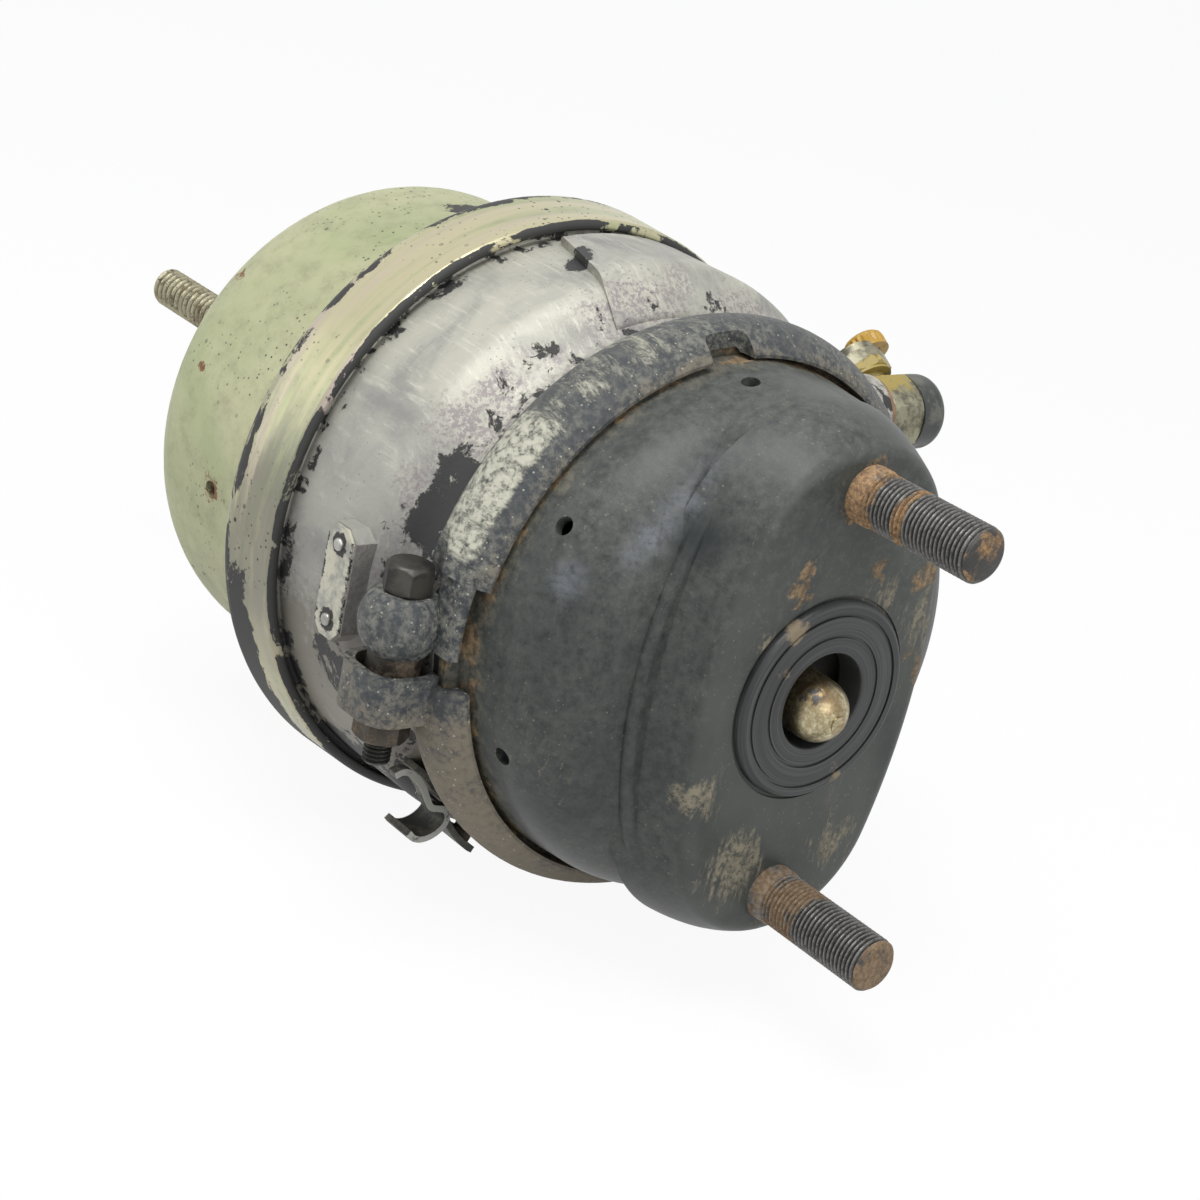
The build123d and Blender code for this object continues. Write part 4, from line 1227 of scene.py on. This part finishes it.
@dataclass
class Bar:
    """Turned bar along a line, with a thread, flats or ribs on stretches of it.

    Its profile is a list of (distance along, radius). A hollow bar's profile comes back along its
    bore, and closed joins its end to its start.
    """

    start: Vector
    axis: Vector
    profile: list[tuple[float, float]]
    thread: Thread | None = None
    flats: Flats | None = None
    ribs: Ribs | None = None
    closed: bool = False
    around: int = 72
    thread_rows: int = 12
    row_step: float = 0.0003

    def fineness(self, low: float, high: float) -> int:
        """Gives how many parts a stretch of the profile is divided into.

        Args:
            low: Lesser distance along.
            high: Greater distance along.

        Returns:
            The number of parts.
        """
        middle = (low + high) / 2
        if self.thread and self.thread.start <= middle <= self.thread.end:
            return max(1, round((high - low) / self.thread.pitch * self.thread_rows))
        if self.flats and self.flats.start <= middle <= self.flats.end:
            return max(2, round((high - low) / self.row_step))
        if self.ribs and self.ribs.start - self.ribs.margin <= middle <= self.ribs.end + self.ribs.margin:
            return max(1, round((high - low) / self.row_step))
        return 1

    def radius_at(self, along: float, middle: float, radius: float, angle: float) -> float:
        """Gives the real radius at a place on the profile.

        Args:
            along: Distance along the bar.
            middle: Middle of the profile's stretch that the place is on.
            radius: Radius of the plain profile.
            angle: Angle round the bar.

        Returns:
            The radius with thread, flats and ribs.
        """
        if self.flats and self.flats.start <= middle <= self.flats.end:
            radius = min(radius, self.flats.limit(angle))
        if self.thread and self.thread.start <= middle <= self.thread.end:
            radius = min(radius, self.thread.limit(along, angle))
        if self.ribs:
            radius = self.ribs.limit(along, angle, radius)
        return radius

    def rows(self) -> list[list[Vector]]:
        """Works out the bar's surface.

        Returns:
            The rings of points from one end to the other.
        """
        turn = self.axis.to_track_quat("Z", "Y")
        angles = [math.tau * number / self.around for number in range(self.around)]
        result: list[list[Vector]] = []
        for (low, low_radius), (high, high_radius) in zip(self.profile, self.profile[1:]):
            middle = (low + high) / 2
            parts = self.fineness(min(low, high), max(low, high))
            for part in range(parts + 1):
                if part == 0 and result and not self.flats:
                    continue
                share = part / parts
                along, radius = low + (high - low) * share, low_radius + (high_radius - low_radius) * share
                row = []
                for angle in angles:
                    real = self.radius_at(along, middle, radius, angle)
                    spot = Vector((real * math.cos(angle), real * math.sin(angle), along))
                    row.append(self.start + turn @ spot)
                result.append(row)
        return result


def smooth_piece(name: str, work: bmesh.types.BMesh) -> bpy.types.Object:
    """Makes an object of a mesh, smooth but for its sharp edges.

    Args:
        name: Name of the object.
        work: The mesh, which is used up.

    Returns:
        The object.
    """
    bmesh.ops.recalc_face_normals(work, faces=work.faces)
    mesh = bpy.data.meshes.new(name)
    work.to_mesh(mesh)
    work.free()
    mesh.shade_smooth()
    mesh.set_sharp_from_angle(angle=SHARP_ANGLE)
    piece = bpy.data.objects.new(name, mesh)
    bpy.context.scene.collection.objects.link(piece)
    return piece


def turned_piece(name: str, bars: Sequence[Bar]) -> bpy.types.Object:
    """Makes one object of several turned bars.

    Args:
        name: Name of the object.
        bars: The bars.

    Returns:
        The object.
    """
    work = bmesh.new()
    for bar in bars:
        rings = [[work.verts.new(point) for point in row] for row in bar.rows()]
        pairs = list(zip(rings, rings[1:]))
        if bar.closed:
            pairs.append((rings[-1], rings[0]))
        else:
            work.faces.new(rings[0][::-1])
            work.faces.new(rings[-1])
        for low, high in pairs:
            for number in range(bar.around):
                work.faces.new((low[number - 1], low[number], high[number], high[number - 1]))
    bmesh.ops.remove_doubles(work, verts=work.verts, dist=SKIN)
    return smooth_piece(name, work)


@dataclass
class Strap:
    """Bent strip: a path of (y, z) across the push axis, rounded, thickened and drawn back along it."""

    path: Sequence[tuple[float, float]]
    front: float
    width: float
    thickness: float = 0.0020
    roundings: int = 3

    def line(self) -> list[Vector]:
        """Rounds the path by cutting its corners again and again.

        Returns:
            The points of the rounded path.
        """
        points = [Vector(spot) for spot in self.path]
        for _ in range(self.roundings):
            cut = [points[0]]
            for low, high in zip(points, points[1:]):
                cut += [low.lerp(high, 0.25), low.lerp(high, 0.75)]
            points = [*cut, points[-1]]
        return points

    def add(self, work: bmesh.types.BMesh) -> None:
        """Adds the strip to a mesh.

        Args:
            work: Mesh to add to.
        """
        line = self.line()
        rows = []
        for number, spot in enumerate(line):
            run = (line[min(number + 1, len(line) - 1)] - line[max(number - 1, 0)]).normalized()
            off = Vector((-run.y, run.x)) * self.thickness / 2
            rows.append([work.verts.new((station, side.x, side.y)) for side in (spot + off, spot - off)
                         for station in (self.front, self.front - self.width)])
        for low, high in zip(rows, rows[1:]):
            for first, second in ((0, 1), (1, 3), (3, 2), (2, 0)):
                work.faces.new((low[first], low[second], high[second], high[first]))
        for row in (rows[0], rows[-1]):
            work.faces.new((row[0], row[1], row[3], row[2]))


def bent_piece(name: str, straps: Sequence[Strap]) -> bpy.types.Object:
    """Makes one object of several bent strips.

    Args:
        name: Name of the object.
        straps: The strips.

    Returns:
        The object.
    """
    work = bmesh.new()
    for strap in straps:
        strap.add(work)
    return smooth_piece(name, work)


def dress(finish: Finish, *nodes: str) -> None:
    """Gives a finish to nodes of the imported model.

    Args:
        finish: What makes the material.
        nodes: Names of the nodes.
    """
    material = finish.build()
    for node in nodes:
        mesh = NODES[node].data
        mesh.materials.clear()
        mesh.materials.append(material)
        log.info("%s: %s", node, material.name)


def stand_in(piece: bpy.types.Object, finish: Finish, body: str, node: str) -> None:
    """Puts a detailed piece in the place of a node.

    Args:
        piece: The new piece.
        finish: What makes its material.
        body: Body that it rides on.
        node: Node that it stands for.
    """
    piece.data.materials.append(finish.build())
    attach(piece, body)
    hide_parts(node)
    log.info("%s: %s, in place of %s", piece.name, piece.data.materials[0].name, node)


ZINC = Steel("zinc_steel", (0.50, 0.50, 0.47), (0.30, 0.29, 0.26), Wear.CLEAN, 0.38)
SPRING = Steel("spring_paint", (0.055, 0.065, 0.080), (0.035, 0.036, 0.040), Wear.CLEAN, 0.42)
PRESSED = Steel("plate_steel", (0.34, 0.34, 0.34), (0.22, 0.22, 0.215), Wear.CLEAN, 0.40)
BRASS = Steel("brass", (0.54, 0.41, 0.19), (0.34, 0.25, 0.12), Wear.CLEAN, 0.36)
COPPER = Steel("copper", (0.34, 0.21, 0.13), (0.20, 0.13, 0.09), Wear.CLEAN, 0.46)
RUSTY = Steel("rusty_steel", (0.075, 0.068, 0.058), (0.045, 0.038, 0.030), Wear.RUSTY, 0.5,
              rust_dark=(0.055, 0.040, 0.027), rust_light=(0.130, 0.098, 0.066))
BOLT = Steel("bolt_steel", (0.040, 0.040, 0.038), (0.085, 0.080, 0.068), Wear.AGED, 0.48,
             rust_dark=(0.060, 0.042, 0.028), rust_light=(0.140, 0.100, 0.065))
RUBBER = Moulded("black_rubber", (0.022, 0.022, 0.022))
PLASTIC = Moulded("black_plastic", (0.019, 0.020, 0.021), gloss=0.40)
CAP = Moulded("cap_plastic", (0.026, 0.029, 0.027), dust=(0.20, 0.20, 0.165), gloss=0.34, dust_share=0.65)
YELLOW = Moulded("yellow_plastic", (0.40, 0.235, 0.030), dust=(0.15, 0.11, 0.055), gloss=0.42, dust_share=0.6)


@dataclass
class ServiceSide:
    """Bowl with its studs, face seal, boot, pushrod and what moves in it."""

    stud_radius: float = 0.008
    collar_radius: float = 0.0084
    collar_end: float = 0.0046
    collar_chamfer: float = 0.0006
    head_radius: float = 0.0112
    head_rear: float = -0.009
    head_chamfer: float = 0.0015
    wall_rear: float = -0.003
    thread_pitch: float = 0.0015
    thread_depth: float = 0.00092
    end_chamfer: float = 0.0014
    end_edge: float = 0.0003
    end_edge_radius: float = 0.00688
    end_face_radius: float = 0.00618

    def build(self) -> None:
        """Dresses the nodes and makes the studs."""
        dress(BowlPaint(), "service_housing")
        dress(SealRubber(), "face_seal")
        dress(RodSteel(), "pushrod")
        dress(RUBBER, "dust_boot", "service_diaphragm", "tube_seal", "parking_diaphragm")
        dress(ZINC, "push_plate", "seal_retainer", "push_tube", "adapter_spring", "release_washer",
              "release_nut", "nameplate_rivets")
        dress(SPRING, "return_spring", "power_spring")
        self.studs()

    def studs(self) -> None:
        """Makes the two studs with their rolled threads."""
        bars = [self.stud(side * STUD_HEIGHT) for side in (1, -1)]
        stand_in(turned_piece("studs", bars), StudSteel(), "chamber", "mounting_studs")

    def stud(self, height: float) -> Bar:
        """Makes one stud.

        Args:
            height: Height of its axis.

        Returns:
            The stud, from its head inside the bowl to its chamfered end.
        """
        wall = self.wall_rear - self.head_rear
        collar = self.collar_end - self.head_rear
        end = STUD_END - self.head_rear
        profile = [
            (0.0, self.head_radius - self.head_chamfer), (self.head_chamfer, self.head_radius),
            (wall, self.head_radius), (wall, self.collar_radius),
            (collar - self.collar_chamfer, self.collar_radius), (collar, self.stud_radius),
            (end - self.end_chamfer, self.stud_radius), (end - self.end_edge, self.end_edge_radius),
            (end, self.end_face_radius),
        ]
        thread = Thread(collar, end, self.thread_pitch, self.thread_depth, self.stud_radius)
        return Bar(Vector((self.head_rear, 0.0, height)), Vector((1.0, 0.0, 0.0)), profile, thread=thread)


@dataclass
class HoseClip:
    """Hose clip under the clamp: a base, a narrow hook over it, a broad curl and the leaf under its rivet.

    Each strip is a path of (y, z) and a width, and each starts one step behind the one before it.
    """

    front: float = -0.078
    step: float = 0.0002
    hook: tuple[tuple[float, float], ...] = (
        (-0.0777, -0.0520), (-0.0747, -0.0508), (-0.0710, -0.0527), (-0.0671, -0.0570),
        (-0.0647, -0.0614), (-0.0629, -0.0645), (-0.0597, -0.0650), (-0.0566, -0.0660),
    )
    hook_width: float = 0.0035
    curl: tuple[tuple[float, float], ...] = (
        (-0.0597, -0.0650), (-0.0566, -0.0659), (-0.0556, -0.0702), (-0.0592, -0.0736),
        (-0.0636, -0.0748), (-0.0672, -0.0738), (-0.0690, -0.0718),
    )
    curl_width: float = 0.0118
    leaf: tuple[tuple[float, float], ...] = (
        (-0.0562, -0.0690), (-0.0530, -0.0738), (-0.0468, -0.0796), (-0.0440, -0.0812),
    )
    leaf_width: float = 0.0114
    base: tuple[tuple[float, float], ...] = (
        (-0.0660, -0.0540), (-0.0610, -0.0596), (-0.0545, -0.0650), (-0.0480, -0.0700),
        (-0.0430, -0.0732),
    )
    base_width: float = 0.0110

    def build(self) -> None:
        """Makes the clip."""
        strips = ((self.hook, self.hook_width), (self.curl, self.curl_width), (self.leaf, self.leaf_width),
                  (self.base, self.base_width))
        straps = [Strap(path, self.front - number * self.step, width)
                  for number, (path, width) in enumerate(strips)]
        stand_in(bent_piece("clip_strip", straps), ClipPaint(), "chamber", "hose_clip")


@dataclass
class ClampRing:
    """Two clamp halves with their bolts, nuts and sleeves."""

    bolt_station: float = -0.071
    bolt_offset: float = 0.0916
    head_seat: float = 0.0095
    head_height: float = 0.0085
    across_flats: float = 0.0128
    shank_radius: float = 0.004
    tail: float = -0.042
    tail_chamfer: float = 0.0009
    tail_face_radius: float = 0.0029
    thread_start: float = -0.027
    thread_pitch: float = 0.00125
    thread_depth: float = 0.00070
    head_edge: float = 0.0003
    under_bevel: float = 0.0009
    under_shares: tuple[float, float] = (0.99, 1.03)  # radii under the head, by half its width
    top_bevel: float = 0.0016
    top_shares: tuple[float, float] = (0.95, 0.88)  # radii on the head, by half its width

    def build(self) -> None:
        """Dresses the halves and makes the bolts."""
        dress(ClampPaint(), "clamp_upper", "clamp_lower")
        dress(RUSTY, "clamp_nuts", "clip_rivet", "clamp_sleeves")
        bars = [self.bolt(side) for side in (-1, 1)]
        stand_in(turned_piece("clamp_screws", bars), BOLT, "chamber", "clamp_bolts")

    def bolt(self, side: int) -> Bar:
        """Makes one bolt, head up.

        Args:
            side: 1 for the +Y side and -1 for the other.

        Returns:
            The bolt, from its tail to the top of its head.
        """
        thread_end = self.thread_start - self.tail
        seat = self.head_seat - self.tail
        top = seat + self.head_height
        flat = self.across_flats / 2
        corner = flat / math.cos(math.pi / 6)
        profile = [
            (0.0, self.tail_face_radius), (self.tail_chamfer, self.shank_radius),
            (thread_end, self.shank_radius), (seat, self.shank_radius),
            (seat, flat * self.under_shares[0]), (seat + self.head_edge, flat * self.under_shares[1]),
            (seat + self.under_bevel, corner), (top - self.top_bevel, corner),
            (top - self.head_edge, flat * self.top_shares[0]), (top, flat * self.top_shares[1]),
        ]
        start = Vector((self.bolt_station, side * self.bolt_offset, self.tail))
        thread = Thread(0.0, thread_end, self.thread_pitch, self.thread_depth, self.shank_radius)
        return Bar(start, Vector((0.0, 0.0, 1.0)), profile, thread=thread,
                   flats=Flats(seat + SKIN, top, self.across_flats))


@dataclass
class CasingSide:
    """Casting with its bush, its blank plate and the plastic parts that run in it."""

    def build(self) -> None:
        """Dresses the casting and what is fixed to it."""
        dress(CastAluminium(), "flange_casing")
        dress(PlateLacquer(), "nameplate")
        dress(PLASTIC, "centre_bush", "plate_guide_ring", "tube_cap")


@dataclass
class SpringSide:
    """Spring housing, spring plate and the release screw."""

    head_seat: float = -0.209
    head_thickness: float = 0.007
    head_length: float = 0.026
    head_width: float = 0.013
    head_chamfer: float = 0.0005
    screw_radius: float = 0.007
    end_chamfer: float = 0.0018
    end_face_radius: float = 0.0050
    thread_start: float = -0.226
    thread_pitch: float = 0.003
    thread_depth: float = 0.0015

    def build(self) -> None:
        """Dresses the nodes and makes the release screw."""
        dress(CupChromate(), "spring_housing")
        dress(PRESSED, "spring_plate", "adapter_plate")
        stand_in(turned_piece("release_screw", [self.screw()]), ScrewSteel(), "spring_plate_group",
                 "release_bolt")

    def screw(self) -> Bar:
        """Makes the screw with its T head.

        Returns:
            The screw, from the front of its head to its end outside the cup.
        """
        front = self.head_seat + self.head_thickness
        head, end, half = self.head_thickness, front - SCREW_END, self.head_length / 2
        profile = [
            (0.0, half - self.head_chamfer), (self.head_chamfer, half), (head, half),
            (head, self.screw_radius), (end - self.end_chamfer, self.screw_radius),
            (end, self.end_face_radius),
        ]
        thread_start = front - self.thread_start
        thread = Thread(thread_start, end, self.thread_pitch, self.thread_depth, self.screw_radius)
        return Bar(Vector((front, 0.0, 0.0)), Vector((-1.0, 0.0, 0.0)), profile, thread=thread,
                   flats=Flats(0.0, head - SKIN, self.head_width, 2))


@dataclass
class AirFittings:
    """Elbow fitting with its cap and release ring, and the connector on the other port."""

    elbow: Place = (-0.0896, 0.1056, 0.0468)
    leg: Place = (-0.85, 0.0, 0.53)
    socket_reach: float = 0.023
    collet_length: float = 0.006
    collet_radius: float = 0.007
    bore_radius: float = 0.00405
    rib_count: int = 22
    rib_depth: float = 0.0005
    rib_start: float = 0.0008
    rib_runout: float = 0.0014
    rib_facets: int = 6
    nose: float = 0.0020
    nose_edge: float = 0.0003

    def build(self) -> None:
        """Dresses the fittings and makes the ribbed release ring."""
        dress(FittingPlate(), "service_fitting")
        dress(CAP, "fitting_cap")
        dress(BRASS, "parking_fitting")
        dress(COPPER, "port_washers")
        stand_in(turned_piece("ribbed_collet", [self.collet()]), YELLOW, "chamber", "elbow_collet")

    def collet(self) -> Bar:
        """Makes the hollow release ring, ribbed for grip.

        Returns:
            The ring, from its end in the elbow's socket to its outer face.
        """
        along = Vector(self.leg).normalized()
        length, outer, bore = self.collet_length, self.collet_radius, self.bore_radius
        profile = [
            (0.0, bore), (0.0, outer), (length - self.nose, outer),
            (length - self.nose / 2, outer - self.nose_edge),
            (length - self.nose_edge, outer - self.nose / 2),
            (length, outer - self.nose), (length, bore),
        ]
        ribs = Ribs(self.rib_start, length - self.rib_runout, self.rib_count, self.rib_depth,
                    bore + self.rib_depth)
        return Bar(Vector(self.elbow) + along * self.socket_reach, along, profile, ribs=ribs, closed=True,
                   around=self.rib_count * self.rib_facets)


@dataclass(frozen=True)
class Lamp:
    """Square lamp that points at a target."""

    name: str
    place: Place
    target: Place
    size: float
    power: float

    def hang(self) -> None:
        """Adds the lamp to the scene."""
        data = bpy.data.lights.new(self.name, "AREA")
        data.size = self.size
        data.energy = self.power
        lamp = bpy.data.objects.new(self.name, data)
        bpy.context.scene.collection.objects.link(lamp)
        lamp.location = self.place
        aim = Vector(self.target) - Vector(self.place)
        lamp.rotation_euler = aim.to_track_quat("-Z", "Y").to_euler()


def seen_straight(tree: bpy.types.NodeTree) -> Socket:
    """Gives a mask that is 1 where a surface is seen straight, mirrored or through glass.

    Args:
        tree: Node tree to add to.

    Returns:
        The mask, which is 0 for the light that the surface throws on other pieces.
    """
    path = tree.nodes.new("ShaderNodeLightPath")
    seen = path.outputs["Is Camera Ray"]
    for kind in ("Is Glossy Ray", "Is Transmission Ray"):
        either = tree.nodes.new("ShaderNodeMath")
        either.operation = "MAXIMUM"
        tree.links.new(seen, either.inputs[0])
        tree.links.new(path.outputs[kind], either.inputs[1])
        seen = either.outputs[0]
    return seen


@dataclass
class Studio:
    """Camera, floor, lamps and surround."""

    lens: float = 78.164
    place: Place = (0.4456, -0.4956, 0.2652)
    right: Place = (0.6068, 0.7705, 0.1954)
    up: Place = (-0.3956, 0.0795, 0.9150)
    back: Place = (0.6895, -0.6325, 0.3530)
    lamps: tuple[Lamp, ...] = (
        Lamp("key", (0.05, -0.45, 1.30), (-0.10, 0.0, 0.0), 0.8, 17.0),
        Lamp("side", (1.15, -0.15, 0.70), (-0.05, 0.0, 0.0), 0.8, 7.0),
        Lamp("left", (-0.9, -1.0, 0.35), (-0.15, 0.0, 0.0), 0.7, 1.8),
    )
    floor_size: float = 12.0
    floor_gap: float = 0.0004
    floor_colour: Colour = (0.86, 0.86, 0.86)
    floor_glow: float = 0.93
    surround: Colour = (0.94, 0.96, 1.0)
    surround_light: float = 0.38

    def build(self) -> None:
        """Makes the whole studio."""
        self.camera()
        self.floor()
        for lamp in self.lamps:
            lamp.hang()
        self.world()

    def camera(self) -> None:
        """Stands the camera in front of the studs, to the left and above."""
        data = bpy.data.cameras.new("camera")
        data.lens = self.lens
        data.sensor_width = 36.0
        data.clip_start = 0.01
        camera = bpy.data.objects.new("camera", data)
        bpy.context.scene.collection.objects.link(camera)
        turn = Matrix((self.right, self.up, self.back)).transposed().to_4x4()
        camera.matrix_world = Matrix.Translation(self.place) @ turn
        bpy.context.scene.camera = camera

    def floor(self) -> None:
        """Lays a pale floor just under the lowest piece."""
        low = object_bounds()[0][2]
        bpy.ops.mesh.primitive_plane_add(size=self.floor_size, location=(0.0, 0.0, low - self.floor_gap))
        floor = bpy.context.object
        floor.name = "floor"
        graph = Graph("pale_floor")
        graph.surface(self.floor_colour, 0.9)
        glow = graph.add("ShaderNodeEmission")
        glow.inputs["Strength"].default_value = 1.0
        mixer = graph.add("ShaderNodeMixShader")
        graph.feed(mixer.inputs[0], graph.both(seen_straight(graph.tree), self.floor_glow))
        graph.tree.links.new(graph.shader.outputs[0], mixer.inputs[1])
        graph.tree.links.new(glow.outputs[0], mixer.inputs[2])
        graph.tree.links.new(mixer.outputs[0], graph.output.inputs["Surface"])
        floor.data.materials.append(graph.material)
        floor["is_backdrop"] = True

    def world(self) -> None:
        """Gives a soft pale surround that shows as white."""
        world = bpy.data.worlds.new("surround")
        bpy.context.scene.world = world
        world.use_nodes = True
        tree = world.node_tree
        tree.nodes.clear()
        mixer = tree.nodes.new("ShaderNodeMixShader")
        tree.links.new(seen_straight(tree), mixer.inputs[0])
        grounds = ((self.surround, self.surround_light), ((1.0, 1.0, 1.0), 1.0))
        for socket, (colour, strength) in zip(mixer.inputs[1:], grounds):
            ground = tree.nodes.new("ShaderNodeBackground")
            ground.inputs["Color"].default_value = (*colour, 1.0)
            ground.inputs["Strength"].default_value = strength
            tree.links.new(ground.outputs[0], socket)
        output = tree.nodes.new("ShaderNodeOutputWorld")
        tree.links.new(mixer.outputs[0], output.inputs["Surface"])


def main() -> None:
    """Builds each sub-assembly and the studio."""
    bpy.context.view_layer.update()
    assemblies = (ServiceSide(), HoseClip(), ClampRing(), CasingSide(), SpringSide(), AirFittings(), Studio())
    for assembly in assemblies:
        log.info("building %s", type(assembly).__name__)
        assembly.build()
    bpy.context.scene.view_settings.view_transform = "Standard"


if __name__ == "__main__":
    logging.basicConfig(level=logging.INFO, format="%(message)s")
    main()
